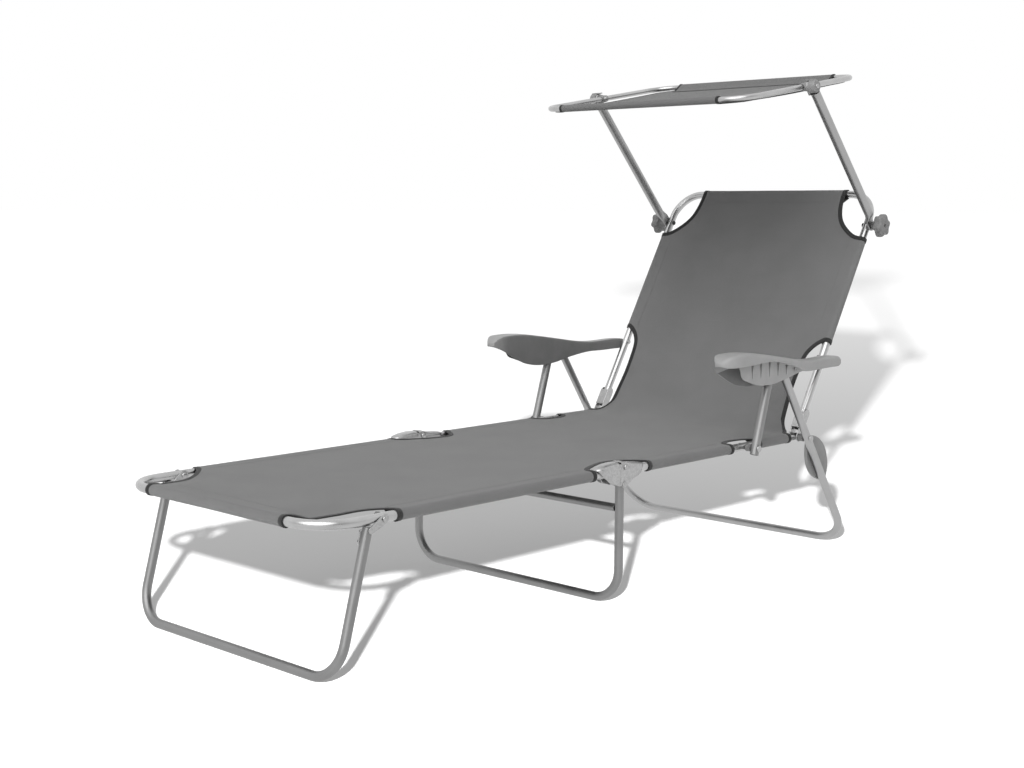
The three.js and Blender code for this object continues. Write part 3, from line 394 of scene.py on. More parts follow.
def bent_line(corners, bend):
    """Places and directions along straight runs and round bends."""
    corners = [Vector(corner) for corner in corners]
    stations = []
    heading = (corners[1] - corners[0]).normalized()
    stations.append((corners[0], heading))
    for before, corner, after in zip(corners, corners[1:], corners[2:]):
        incoming = (corner - before).normalized()
        outgoing = (after - corner).normalized()
        turn = incoming.angle(outgoing)
        inwards = (outgoing - incoming * math.cos(turn)).normalized()
        start = corner - incoming * bend * math.tan(turn / 2)
        centre = start + inwards * bend
        for i in range(BEND_STEPS + 1):
            angle = turn * i / BEND_STEPS
            place = centre - inwards * bend * math.cos(angle) + incoming * bend * math.sin(angle)
            stations.append((place, incoming * math.cos(angle) + inwards * math.sin(angle)))
    stations.append((corners[-1], (corners[-1] - corners[-2]).normalized()))
    return stations


def circle(place, heading, upright, radius):
    """A ring round a place, square to the heading."""
    across = upright.cross(heading).normalized()
    angles = [2 * math.pi * k / TUBE_SIDES for k in range(TUBE_SIDES)]
    return [place + (across * math.cos(angle) + upright * math.sin(angle)) * radius for angle in angles]


def tube(name, corners, radius, upright, material, bend=0.0, world=bed_frame):
    """A bent steel tube with rounded, open ends."""
    upright = Vector(upright).normalized()
    stations = bent_line(corners, bend)
    edge = 0.0005
    depth = 3 * radius
    bore = BORE * radius / TUBE
    # How far inside the end, and radius: up the bore, round the lip and on to the outside.
    lip = [(depth, 0.2 * bore), (depth, bore), (edge, bore), (0, bore + edge),
           (0, radius - edge), (edge, radius)]
    first, heading = stations[0]
    last, leaving = stations[-1]
    rings = [circle(first + heading * inset, heading, upright, reach) for inset, reach in lip]
    rings += [circle(place, direction, upright, radius) for place, direction in stations[1:-1]]
    rings += [circle(last - leaving * inset, leaving, upright, reach) for inset, reach in reversed(lip)]
    return loft(name, rings, material, world)


def u_shape(end, bar, half):
    """Corners of a tube bent to a U: X and Z of its ends and of the bar between its bends."""
    return [(end[0], -half, end[1]), (bar[0], -half, bar[1]), (bar[0], half, bar[1]), (end[0], half, end[1])]


def turned(name, profile, material, world, sides=RING_SIDES, lobes=0):
    """A turned piece about the Y axis; a profile point is Y, radius and depth of its lobes."""
    rings = []
    for point in profile:
        y, radius, depth = (*point, 0)[:3]
        ring = []
        for k in range(sides):
            angle = 2 * math.pi * k / sides
            reach = max(radius - depth * (1 - math.cos(lobes * angle)) / 2, 1e-5)
            ring.append((reach * math.cos(angle), y, reach * math.sin(angle)))
        rings.append(ring)
    return loft(name, rings, material, world)


def headed_profile(low, high, shank, head, height):
    """Y and radius of a rivet with a domed head on both ends."""
    dome = [(0.0, 1.0), (0.35, 0.97), (0.7, 0.8), (0.92, 0.5), (1.0, 0.12)]
    lower = [(low - height * up, head * out) for up, out in reversed(dome)]
    upper = [(high + height * up, head * out) for up, out in dome]
    return lower + [(low, shank), (high, shank)] + upper


def rivet(name, x, z, low, high, body, world=bed_frame, shank=0.003, material=zinc_sheet):
    low, high = min(low, high), max(low, high)
    profile = headed_profile(low, high, shank, 1.8 * shank, 0.003)
    piece = turned(name + "_domed", profile, material, world @ Matrix.Translation((x, 0, z)))
    return place_piece(piece, body, name)


def hull(points):
    """The convex outline round some points of the side view, counterclockwise."""
    ordered = sorted(set((round(x, 7), round(z, 7)) for x, z in points))

    def chain(line):
        kept = []
        for point in line:
            while len(kept) > 1 and (kept[-1][0] - kept[-2][0]) * (point[1] - kept[-2][1]) \
                    <= (kept[-1][1] - kept[-2][1]) * (point[0] - kept[-2][0]):
                kept.pop()
            kept.append(point)
        return kept[:-1]

    return chain(ordered) + chain(list(reversed(ordered)))


def eye_outline(eyes, steps=28):
    rim = [(x + radius * math.cos(2 * math.pi * i / steps), z + radius * math.sin(2 * math.pi * i / steps))
           for x, z, radius in eyes for i in range(steps)]
    return hull(rim)


def even_outline(outline, count=96):
    """The same outline with evenly spaced points."""
    closed = [Vector(point) for point in [*outline, outline[0]]]
    lengths = [(after - before).length for before, after in zip(closed, closed[1:])]
    step = sum(lengths) / count
    even, travelled, i = [], 0.0, 0
    for k in range(count):
        target = k * step
        while travelled + lengths[i] < target:
            travelled += lengths[i]
            i += 1
        even.append(closed[i].lerp(closed[i + 1], (target - travelled) / lengths[i]))
    return even


def pressed_plate(name, outline, inner, outer, material, world, emboss=None, edge=0.0005):
    """A plate in the side view between two Y values, with rounded edges and pressed-out forms."""
    rim = even_outline(outline)
    middle = sum(rim, Vector((0, 0))) / len(rim)
    facing = 1 if outer > inner else -1
    shares = [0.02, 0.15, 0.3, 0.45, 0.6, 0.72, 0.82, 0.9, 0.96]

    def ring(share, y, inset=0.0):
        points = []
        for point in rim:
            reach = point - middle
            spot = middle + reach * (share * (1 - inset / reach.length))
            lift = emboss(spot.x, spot.y) * facing if emboss else 0.0
            points.append((spot.x, y + lift, spot.y))
        return points

    rings = [ring(share, inner) for share in shares]
    rings += [ring(1, inner, edge), ring(1, inner + facing * edge), ring(1, outer - facing * edge),
              ring(1, outer, edge)]
    rings += [ring(share, outer) for share in reversed(shares)]
    return loft(name, rings, material, world, crease=50)


# Steel tubes.
def frame_tubes():
    corners = u_shape((FOLD_X - HINGE_GAP, BED_HEIGHT), (0, BED_HEIGHT), HALF_WIDTH)
    piece = tube("foot_frame_tube", corners, TUBE, UP, bright_tube, FRAME_BEND)
    place_piece(piece, "foot_section", "foot_frame")
    for side, sign in SIDES:
        y = sign * HALF_WIDTH
        corners = [(FOLD_X + HINGE_GAP, y, BED_HEIGHT), (RECLINE_X + 0.013, y, BED_HEIGHT)]
        piece = tube(f"seat_side_tube_{side}", corners, TUBE, UP, bright_tube)
        place_piece(piece, "seat", f"seat_tube_{side}")
    end = HALF_WIDTH - TUBE_FLAT - CLEARANCE
    corners = [(RECLINE_X - 0.021, y, BED_HEIGHT) for y in (-end, end)]
    piece = tube("seat_cross_rail", corners, CROSS_TUBE, UP, satin_tube)
    place_piece(piece, "seat", "seat_cross_tube")
    corners = u_shape((BACK_START, 0), (BACK_LENGTH, 0), HALF_WIDTH)
    piece = tube("back_frame_tube", corners, TUBE, UP, bright_tube, BACK_BEND, back_frame)
    place_piece(piece, "back", "back_frame")


FRONT_TOP_X = 0.094
FRONT_LEAN = math.atan2(FRONT_TOP_X - 0.027, BED_HEIGHT - 2 * TUBE_FLAT)
FRONT_TOP_Z = BED_HEIGHT - TUBE_FLAT - CLEARANCE - TUBE * math.sin(FRONT_LEAN)
MID_PIVOT_Z = BED_HEIGHT - 0.024
FOLD_Z = pivots["foot_fold"].z
REAR_LEG_Y = 0.308
REAR_ANGLE = math.radians(55.7)
REAR_TOP = 0.199
REAR_BEND = 0.078
STRUT_Y = 0.306
STRUT_ANGLE = math.radians(73)
STRUT_LENGTH = 0.172


def front_leg_point(down):
    return FRONT_TOP_X - down * math.sin(FRONT_LEAN), FRONT_TOP_Z - down * math.cos(FRONT_LEAN)


def leg_tubes():
    foot = front_leg_point((FRONT_TOP_Z - TUBE_FLAT) / math.cos(FRONT_LEAN))
    corners = u_shape((FRONT_TOP_X, FRONT_TOP_Z), foot, HALF_WIDTH)
    upright = (math.cos(FRONT_LEAN), 0, -math.sin(FRONT_LEAN))
    piece = tube("front_leg_tube", corners, TUBE, upright, satin_tube, LEG_BEND)
    place_piece(piece, "front_leg", "front_leg")

    corners = u_shape((FOLD_X, MID_PIVOT_Z + 0.008), (FOLD_X, TUBE_FLAT), HALF_WIDTH)
    piece = tube("mid_leg_tube", corners, TUBE, (1, 0, 0), satin_tube, LEG_BEND)
    place_piece(piece, "mid_leg", "mid_leg")
    end = HALF_WIDTH - TUBE_FLAT - CLEARANCE
    corners = [(FOLD_X, y, 0.8 * MID_PIVOT_Z) for y in (-end, end)]
    piece = tube("mid_leg_rail", corners, MID_RAIL_TUBE, UP, satin_tube)
    place_piece(piece, "mid_leg", "mid_leg_cross_bar")

    top = away(RECLINE_X, BED_HEIGHT, REAR_TOP, math.pi - REAR_ANGLE)
    foot = away(RECLINE_X, BED_HEIGHT, (BED_HEIGHT - TUBE_FLAT) / math.sin(REAR_ANGLE), -REAR_ANGLE)
    upright = (math.sin(REAR_ANGLE), 0, math.cos(REAR_ANGLE))
    piece = tube("rear_leg_tube", u_shape(top, foot, REAR_LEG_Y), TUBE, upright, arm_tube, REAR_BEND)
    place_piece(piece, "rear_leg", "rear_leg")

    ends = [away(STRUT_X, BED_HEIGHT, reach, STRUT_ANGLE) for reach in (-0.014, STRUT_LENGTH)]
    for side, sign in SIDES:
        corners = [(x, sign * STRUT_Y, z) for x, z in ends]
        piece = tube(f"strut_tube_{side}", corners, STRUT_TUBE, (0, 1, 0), satin_tube)
        place_piece(piece, f"strut_{side}", f"strut_{side}")


# Bed cloth. Its length runs from the foot bar along the seat and up the back.
CORNER_REACH = CLOTH_OFFSET * math.tan(BACK_ANGLE / 2)
SEAT_END = RECLINE_X - CORNER_REACH
CORNER_SOFT = 0.064  # the cloth leaves the corner this far on both sides, in the middle
CORNER_TIGHT = 0.02  # and this far beside the tubes
SAG = 0.005
DROOP = 0.008  # the free edge at the foot corners hangs this far below the tubes' tops


def up_back(distance):
    """Length along the cloth of a place on the back, measured from the recline bolt."""
    return SEAT_END + distance - CORNER_REACH


CLOTH_END = up_back(BACK_LENGTH)


def bed_surface(along, y):
    """Place and normal of the bed cloth's middle."""
    soft = CORNER_SOFT + (CORNER_TIGHT - CORNER_SOFT) * smooth_step(abs(y), 0.19, 0.268)
    share = min(1.0, max(0.0, (along - SEAT_END + soft) / (2 * soft)))
    angle = share * BACK_ANGLE
    radius = soft / math.tan(BACK_ANGLE / 2)
    start = min(along, SEAT_END - soft)
    x = start + radius * math.sin(angle)
    z = BED_HEIGHT + CLOTH_OFFSET + radius * (1 - math.cos(angle))
    past = max(0.0, along - SEAT_END - soft)
    x, z = away(x, z, past, BACK_ANGLE)
    normal = Vector((-math.sin(angle), 0, math.cos(angle)))
    # The cloth is pulled flat at the foot bar, at the corner and at the top bar, and sags between them.
    hold = smooth_step(along, 0.02, 0.22) * (1 - smooth_step(along, SEAT_END - 0.16, SEAT_END - 0.02)) \
        + smooth_step(along, SEAT_END + 0.05, SEAT_END + 0.22) \
        * (1 - smooth_step(along, CLOTH_END - 0.12, CLOTH_END))
    middle = 1 - (y / HALF_WIDTH) ** 2
    ripple = noise.noise(Vector((along * 9, y * 7, 0.3))) * 0.0011 * middle
    pull = math.sin(along * 2 * math.pi / 0.055) * 0.0005 * smooth_step(abs(y), 0.15, 0.25) * middle
    droop = DROOP * smooth_step(along, 0.0, 0.035) * (1 - smooth_step(along, 0.075, 0.16)) \
        * smooth_step(abs(y), 0.14, 0.212)
    return bed(x, y, z) + normal * (ripple + pull * hold - SAG * middle * hold - droop), normal


CANOPY_SAG = 0.005
CANOPY_CLOTH_OFFSET = 0.0069


def canopy_surface(along, y):
    """Place and normal of the canopy cloth's middle, from the front bar to the rear, under both."""
    length = CANOPY_FRONT + CANOPY_REAR
    share = along / length
    sag = CANOPY_SAG * 4 * share * (1 - share) * (1 - 0.6 * (y / CANOPY_HALF) ** 2)
    ripple = noise.noise(Vector((along * 8, y * 8, 2.1))) * 0.0012 * smooth_step(share * (1 - share), 0, 0.1)
    place = canopy_frame @ Vector((along - CANOPY_FRONT, y, ripple - CANOPY_CLOTH_OFFSET - sag))
    return place, (canopy_frame.to_3x3() @ Vector((0, 0, -1))).normalized()


def canopy_flap(along, y):
    """Place and normal of the canopy sleeves' flaps, which lie on the cloth."""
    place, down = canopy_surface(along, y)
    return place - down * (CLOTH + 2 * CLEARANCE), -down


def smooth_line(points, steps=4):
    """A smooth line through places, always forwards along the cloth."""
    line = []
    ends = [points[0], *points, points[-1]]
    for a, b, c, d in zip(ends, ends[1:], ends[2:], ends[3:]):
        for i in range(steps):
            t = i / steps
            line.append(tuple(
                q + ((r - p) + (2 * p - 5 * q + 4 * r - s) * t + (3 * q - p - 3 * r + s) * t * t) * t / 2
                for p, q, r, s in zip(a, b, c, d)))
    line.append(tuple(points[-1]))
    forwards = [line[0]]
    for along, half in line[1:]:
        forwards.append((max(along, forwards[-1][0] + 0.0002), half))
    return forwards


# Cut-outs: length along the cloth, and the half width that is left.
FOOT_CUT = smooth_line([
    (0, 0.19), (0.008, 0.193), (0.02, 0.205), (0.034, 0.2135), (0.055, 0.215), (0.08, 0.217), (0.104, 0.2235),
    (0.122, 0.2345), (0.138, 0.251), (0.147, 0.2635), (0.152, HALF_WIDTH)])
FOLD_CUT = smooth_line([
    (0.642, HALF_WIDTH), (0.648, 0.262), (0.6617, 0.2515), (0.682, 0.2425), (0.7043, 0.234), (0.73, 0.2275),
    (0.7555, 0.2275), (0.771, 0.2345), (0.781, 0.247), (0.79, 0.261), (0.798, HALF_WIDTH)])
STRUT_CUT = smooth_line([
    (1.076, HALF_WIDTH), (1.083, 0.259), (1.1, 0.2495), (1.122, 0.2465), (1.146, 0.25), (1.161, 0.26),
    (1.168, HALF_WIDTH)])
LOWER_CUT = smooth_line([
    (1.286, HALF_WIDTH), (1.294, 0.268), (1.304, 0.2625), (up_back(0.01), 0.2535), (up_back(0.03), 0.2435),
    (up_back(0.066), 0.2395), (up_back(0.107), 0.2365), (up_back(0.15), 0.2375), (up_back(0.186), 0.2415),
    (up_back(0.206), 0.251), (up_back(0.219), 0.263), (up_back(0.228), HALF_WIDTH)])
UPPER_CUT = smooth_line([
    (up_back(0.492), HALF_WIDTH), (up_back(0.4945), 0.264), (up_back(0.499), 0.254), (up_back(0.509), 0.24),
    (up_back(0.525), 0.223), (up_back(0.543), 0.211), (up_back(0.566), 0.2035), (up_back(0.589), 0.2005),
    (CLOTH_END, TOP_SLEEVE_HALF)])
# Sleeves round the side tubes, from one cut-out to the next.
FOOT_SLEEVE = (FOOT_CUT[-1][0], FOLD_CUT[0][0])
SEAT_SLEEVE = (FOLD_CUT[-1][0], STRUT_CUT[0][0])
REAR_SLEEVE = (STRUT_CUT[-1][0], LOWER_CUT[0][0])
BACK_SLEEVE = (LOWER_CUT[-1][0], UPPER_CUT[0][0])
CANOPY_WIDEST = 0.258  # half width of the canopy cloth, beside the side tubes
CANOPY_CORNER = smooth_line([
    (0, CANOPY_SLEEVE_HALF), (0.003, 0.2205), (0.009, 0.2325), (0.02, 0.2495), (0.032, 0.2565),
    (0.05, CANOPY_WIDEST)])


def sleeve_rows(start, end):
    count = max(2, round((end - start) / CLOTH_STEP))
    return [(start + (end - start) * i / count, HALF_WIDTH) for i in range(count + 1)]


WRAP_STEPS = 14


def wrap_section(offset):
    """Offsets of a sleeve round its tube, outwards and up, from the top to where it turns to its seam."""
    lower = offset - 0.0016  # the seam lies this far above the tube's middle
    leave = math.atan2(lower, -SLEEVE_SEAM) + math.acos(offset / math.hypot(SLEEVE_SEAM, lower))
    sweep = math.pi / 2 - (leave - 2 * math.pi)
    angles = [math.pi / 2 - sweep * i / WRAP_STEPS for i in range(1, WRAP_STEPS + 1)]
    return [(offset * math.cos(angle), offset * math.sin(angle)) for angle in angles]


def wrapped_edge(top, outwards, offset, seam, flap):
    """The sleeve's points at one edge point: round the tube, then flat under the panel.

    Top, seam and flap are a place and normal of the panel each.
    """
    centre = top[0] - top[1] * offset
    points = [centre + outwards * out + top[1] * up for out, up in wrap_section(offset)]
    seam, flap = (place - normal * (CLOTH + 2 * CLEARANCE) for place, normal in (seam, flap))
    return points + [points[-1].lerp(seam, 0.5), seam, flap]


def side_wrap(surface, along, sign, offset=CLOTH_OFFSET, half=HALF_WIDTH):
    return wrapped_edge(surface(along, sign * half), Vector((0, sign, 0)), offset,
                        surface(along, sign * (half - SLEEVE_SEAM)),
                        surface(along, sign * (half - SLEEVE_SEAM - SEAM_FLAP)))


def bar_wrap(surface, along, y, sign, offset=CLOTH_OFFSET):
    """Round the bar at an end of the cloth; sign is the way out of the cloth along its length."""
    ahead = (surface(along + 0.001, y)[0] - surface(along - 0.001, y)[0]).normalized()
    return wrapped_edge(surface(along, y), ahead * sign, offset,
                        surface(along - sign * SLEEVE_SEAM, y),
                        surface(along - sign * (SLEEVE_SEAM + SEAM_FLAP), y))


def cloth_panel(name, runs, surface, material, first_bar=False, last_bar=False, offset=CLOTH_OFFSET):
    """One length of cloth. A run is its rows and whether they wrap the side tubes."""
    mesh = bpy.data.meshes.new(name)
    points, marks, faces = [], [], []

    def put(point, mark):
        points.append(point)
        marks.append(mark)
        return len(points) - 1

    def strip(one, other):
        faces.extend((a, b, c, d) for a, b, c, d in zip(one, one[1:], other[1:], other))

    rows, wraps = [], []
    for lines, wrapped in runs:
        for i, (along, half) in enumerate(lines):
            if i == 0 and rows:
                row = rows[-1][1]
            else:
                row = []
                for k in range(CLOTH_COLUMNS + 1):
                    # The columns stand a little closer beside the tubes.
                    share = k / CLOTH_COLUMNS
                    y = half * (0.35 * math.sin(math.pi * (share - 0.5)) + 0.65 * (2 * share - 1))
                    row.append(put(surface(along, y)[0], (y, along)))
                if rows:
                    strip(rows[-1][1], row)
                rows.append((along, row))
            if wrapped:
                edges = []
                for sign, start in ((-1, row[0]), (1, row[-1])):
                    line, reach, last = [start], HALF_WIDTH, points[start]
                    for point in side_wrap(surface, along, sign):
                        reach += (point - last).length
                        last = point
                        line.append(put(point, (sign * reach, along)))
                    edges.append(line)
                if i:
                    for before, after in zip(wraps[-1], edges):
                        strip(before, after)
                wraps.append(edges)
    for wanted, (along, row), sign in ((first_bar, rows[0], -1), (last_bar, rows[-1], 1)):
        if wanted:
            lines = []
            for k, start in enumerate(row):
                y, reach, last = marks[start][0], along, points[start]
                line = [start]
                for point in bar_wrap(surface, along, y, sign, offset):
                    reach += sign * (point - last).length
                    last = point
                    line.append(put(point, (y, reach)))
                lines.append(line)
            for before, after in zip(lines, lines[1:]):
                strip(before, after)
    mesh.from_pydata(points, [], faces)
    run = mesh.uv_layers.new(name="run")
    for face in mesh.polygons:
        for corner, vertex in zip(face.loop_indices, face.vertices):
            run.data[corner].uv = marks[vertex]
    turn_faces_out(mesh)
    area = sum(face.area for face in mesh.polygons)
    piece = finish_piece(name, mesh, material, crease=80)
    thick = piece.modifiers.new("thickness", "SOLIDIFY")
    thick.thickness = CLOTH
    thick.offset = 0
    thick.use_even_offset = True
    edges = piece.modifiers.new("cut_edges", "EDGE_SPLIT")
    edges.split_angle = math.radians(60)
    return piece, area


def ring_path(surface, along, sign, half=HALF_WIDTH, offset=CLOTH_OFFSET, bar_sign=0):
    """Places and normals along the open end of a sleeve, from its seam round to the panel's edge."""
    if bar_sign:
        points = bar_wrap(surface, along, sign * half, bar_sign, offset)
    else:
        points = side_wrap(surface, along, sign, offset, half)
    top, normal = surface(along, sign * half)
    centre = top - normal * offset
    path = []
    for i, point in enumerate(points[:-1]):
        out = (point - centre).normalized() if i < WRAP_STEPS else -normal
        path.append((point, out))
    return list(reversed(path)) + [(top, normal)]


TAPE_SECTION = [(-0.0008, -0.0006), (-0.0003, -0.0011), (TAPE - 0.0006, -0.0009), (TAPE, -0.0004),
                (TAPE, 0.0008), (TAPE - 0.0006, 0.0013), (-0.0003, 0.0015), (-0.0008, 0.0009)]


def tape(name, path, inwards_at, breadth=1.0):
    """Binding folded over a cloth edge, along places and normals; breadth is a share of its width."""
    rings = []
    side = None
    for i, (place, normal) in enumerate(path):
        before = path[max(i - 1, 0)][0]
        after = path[min(i + 1, len(path) - 1)][0]
        heading = (after - before).normalized()
        inwards = normal.cross(heading).normalized()
        if side is None:
            side = 1 if inwards.dot(inwards_at) > 0 else -1
        up = heading.cross(inwards).normalized()
        if up.dot(normal) < 0:
            up = -up
        rings.append([place + inwards * side * a * breadth + up * b for a, b in TAPE_SECTION])
    return loft(name, rings, binding, crease=50)


def cut_path(surface, cut, sign, offset=CLOTH_OFFSET, bars=(0, 0)):
    """The binding's way round a cut-out: out of one sleeve, along the edge and into the next.

    Bars say, for each end, whether its sleeve is on a bar and which way out of the cloth that lies.
    """
    out, back = (ring_path(surface, along, sign, half, offset, bar)
                 for (along, half), bar in zip((cut[0], cut[-1]), bars))
    return out + [surface(along, sign * half) for along, half in cut[1:-1]] + back[::-1]


STITCH_HALF = 0.0016
STITCH_PITCH = 0.0046
THREAD = 0.0005  # radius


def stitch_row(mesh_points, mesh_faces, path):
    """Lock stitches that lie on a path of places and normals."""
    lengths = [0.0]
    for (before, _), (after, _) in zip(path, path[1:]):
        lengths.append(lengths[-1] + (after - before).length)
    at, i = SEAM_CLEAR, 0
    while at < lengths[-1] - SEAM_CLEAR:
        while lengths[i + 1] < at:
            i += 1
        share = (at - lengths[i]) / (lengths[i + 1] - lengths[i])
        place = path[i][0].lerp(path[i + 1][0], share)
        normal = path[i][1]
        heading = (path[i + 1][0] - path[i][0]).normalized()
        across = normal.cross(heading)
        first = len(mesh_points)
        for step, girth in ((-1.0, 0.35), (-0.6, 0.9), (0.6, 0.9), (1.0, 0.35)):
            for k in range(6):
                angle = math.pi * k / 3
                mesh_points.append(place + heading * step * STITCH_HALF
                                   + across * THREAD * girth * math.cos(angle)
                                   + normal * (0.0007 + THREAD * girth * math.sin(angle)))
        for ring in range(3):
            for k in range(6):
                a, b = first + ring * 6 + k, first + ring * 6 + (k + 1) % 6
                mesh_faces.append((a, b, b + 6, a + 6))
        mesh_faces.append(tuple(first + k for k in reversed(range(6))))
        mesh_faces.append(tuple(first + 18 + k for k in range(6)))
        at += STITCH_PITCH


def stitches(name, paths, body):
    mesh = bpy.data.meshes.new(name)
    points, faces = [], []
    for path in paths:
        stitch_row(points, faces, path)
    mesh.from_pydata(points, [], faces)
    return place_piece(finish_piece(name, mesh, thread), body)


def seams_along(*sleeves):
    """The seams beside both side tubes, inside the ends of each sleeve."""
    seams = []
    for sign in (-1, 1):
        for start, end in sleeves:
            start, end = start + SEAM_CLEAR, end - SEAM_CLEAR
            steps = max(2, round((end - start) / CLOTH_STEP))
            seams.append([bed_surface(start + (end - start) * i / steps, sign * (HALF_WIDTH - SLEEVE_SEAM))
                          for i in range(steps + 1)])
    return seams


def seam_across(surface, along, half):
    steps = round(2 * half / CLOTH_STEP)
    return [surface(along, -half + 2 * half * i / steps) for i in range(steps + 1)]


def bed_cloth():
    foot_runs = [(FOOT_CUT, False), (sleeve_rows(*FOOT_SLEEVE), True), (FOLD_CUT, False),
                 (sleeve_rows(SEAT_SLEEVE[0], PANEL_JOIN_X), True)]
    back_runs = [(sleeve_rows(PANEL_JOIN_X, SEAT_SLEEVE[1]), True), (STRUT_CUT, False),
                 (sleeve_rows(*REAR_SLEEVE), True), (LOWER_CUT, False),
                 (sleeve_rows(*BACK_SLEEVE), True), (UPPER_CUT, False)]
    foot_cloth, foot_area = cloth_panel(
        "bed_cloth_foot_half", foot_runs, bed_surface, sling_weave, first_bar=True)
    back_cloth, back_area = cloth_panel(
        "bed_cloth_back_half", back_runs, bed_surface, sling_weave, last_bar=True)
    to_foot = Vector((-1, 0, 0))
    down_back = bed_surface(BACK_SLEEVE[1], 0)[1].cross(Vector((0, 1, 0)))
    fold_tapes, lower_tapes, fixed = [], [], []
    for side, sign in SIDES:
        to_middle = Vector((0, -sign, 0))
        path = cut_path(bed_surface, FOOT_CUT, sign, bars=(-1, 0))
        fixed.append(place_piece(tape(f"foot_corner_tape_{side}", path, to_middle), "foot_section"))
        path = cut_path(bed_surface, FOLD_CUT, sign)
        fold_tapes.append(tape(f"fold_tape_{side}", path, to_foot))
        path = cut_path(bed_surface, STRUT_CUT, sign)
        fixed.append(place_piece(tape(f"strut_gap_tape_{side}", path, to_foot), "seat"))
        path = cut_path(bed_surface, LOWER_CUT, sign)
        lower_tapes.append(tape(f"lower_back_tape_{side}", path, to_foot))
        path = cut_path(bed_surface, UPPER_CUT, sign, bars=(0, 1))
        fixed.append(place_piece(tape(f"upper_back_tape_{side}", path, down_back), "back"))
    foot_seam = seam_across(bed_surface, SLEEVE_SEAM, FOOT_SLEEVE_HALF - 0.01)
    top_seam = seam_across(bed_surface, CLOTH_END - SLEEVE_SEAM, TOP_SLEEVE_HALF - 0.008)
    fixed.append(stitches("foot_section_stitches", seams_along(FOOT_SLEEVE) + [foot_seam], "foot_section"))
    fixed.append(stitches("seat_stitches", seams_along(SEAT_SLEEVE, REAR_SLEEVE), "seat"))
    fixed.append(stitches("back_stitches", seams_along(BACK_SLEEVE) + [top_seam], "back"))
    for piece in (foot_cloth, *fold_tapes):
        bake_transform(piece)
    bend_end = bed_surface(up_back(0.06), 0.2)[0]
    for piece in (back_cloth, *lower_tapes):
        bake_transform(piece)
    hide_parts("foot_sling")
    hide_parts("seat_sling", "back_sling")


def canopy_cloth():
    length = CANOPY_FRONT + CANOPY_REAR
    steps = 30
    start = CANOPY_CORNER[-1][0]
    straight = length - 2 * start
    rows = CANOPY_CORNER + [(start + straight * i / steps, CANOPY_WIDEST) for i in range(1, steps)] \
        + [(length - along, half) for along, half in reversed(CANOPY_CORNER)]
    cloth, area = cloth_panel("canopy_cloth_sheet", [(rows, False)], canopy_surface, canopy_weave,
                              first_bar=True, last_bar=True, offset=CANOPY_CLOTH_OFFSET)
    place_piece(cloth, "canopy", "canopy_cloth")
    for side, sign in SIDES:
        path = cut_path(canopy_surface, rows, sign, CANOPY_CLOTH_OFFSET, bars=(-1, 1))
        edging = tape(f"canopy_edge_tape_{side}", path, Vector((0, -sign, 0)), breadth=0.55)
        place_piece(edging, "canopy")
    seams = [seam_across(canopy_flap, along, CANOPY_SLEEVE_HALF - 0.01)
             for along in (SLEEVE_SEAM, length - SLEEVE_SEAM)]
    stitches("canopy_stitches", seams, "canopy")


# Fold hinge, brackets, bolts and rivets.
PLATE = 0.0025
PLATE_REACH = 0.037
PLATE_EYE = 0.0095
SADDLE_SKIN = 0.0016  # thickness of the hinges' saddles


def plate_faces(sign, face, layer):
    """Inner and outer Y of a hinge plate on one face of a side tube."""
    offset = TUBE_FLAT + CLEARANCE + layer * (PLATE + CLEARANCE)
    middle = sign * HALF_WIDTH
    return middle + sign * face * offset, middle + sign * face * (offset + PLATE)


def bump_at(x, z, spot, radius, height):
    """A round boss pressed out of a plate."""
    gap = math.hypot(x - spot[0], z - spot[1])
    return height * (1 - smooth_step(gap, 0.6 * radius, radius))


def foot_plate_form(x, z):
    """Upright ribs between the saddle and the hinge's eye."""
    ribs = sum(math.exp(-((x - FOLD_X - spot) / 0.0022) ** 2) for spot in (-0.0105, -0.0035))
    return 0.0008 * ribs * (1 - smooth_step(abs(z - BED_HEIGHT + 0.009), 0.005, 0.01)) \
        + bump_at(x, z, (FOLD_X, FOLD_Z), 0.0075, 0.001)


def hinge_saddle(name, stations, world, body):
    """The pressed saddle that closes a hinge over its tube.

    A station is X, half width, top, foot, and how far its top stands ahead of its foot.
    """
    rings = []
    skin, edge = SADDLE_SKIN, 0.0008
    for x, half, top, foot, lean in stations:
        outer, inner = [], []
        shoulder = top - 0.8 * half
        for k in range(25):
            angle = math.pi * k / 24
            c, s = math.cos(angle), math.sin(angle)
            spread_y, rise = math.copysign(abs(c) ** 0.62, c), abs(s) ** 0.62
            outer.append((x, half * spread_y, shoulder + (top - shoulder) * rise))
            inner.append((x, (half - skin) * spread_y, shoulder + (top - skin - shoulder) * rise))
        outer = [(x, half - edge, foot), (x, half, foot + 0.001)] + outer \
            + [(x, -half, foot + 0.001), (x, edge - half, foot)]
        inner = [(x, half - skin, foot)] + inner + [(x, skin - half, foot)]
        ring = outer + list(reversed(inner))
        rings.append([(px - lean * (pz - foot) / (top - foot), py, pz) for px, py, pz in ring])
    place_piece(loft(name, rings, zinc_sheet, world, crease=55), body)


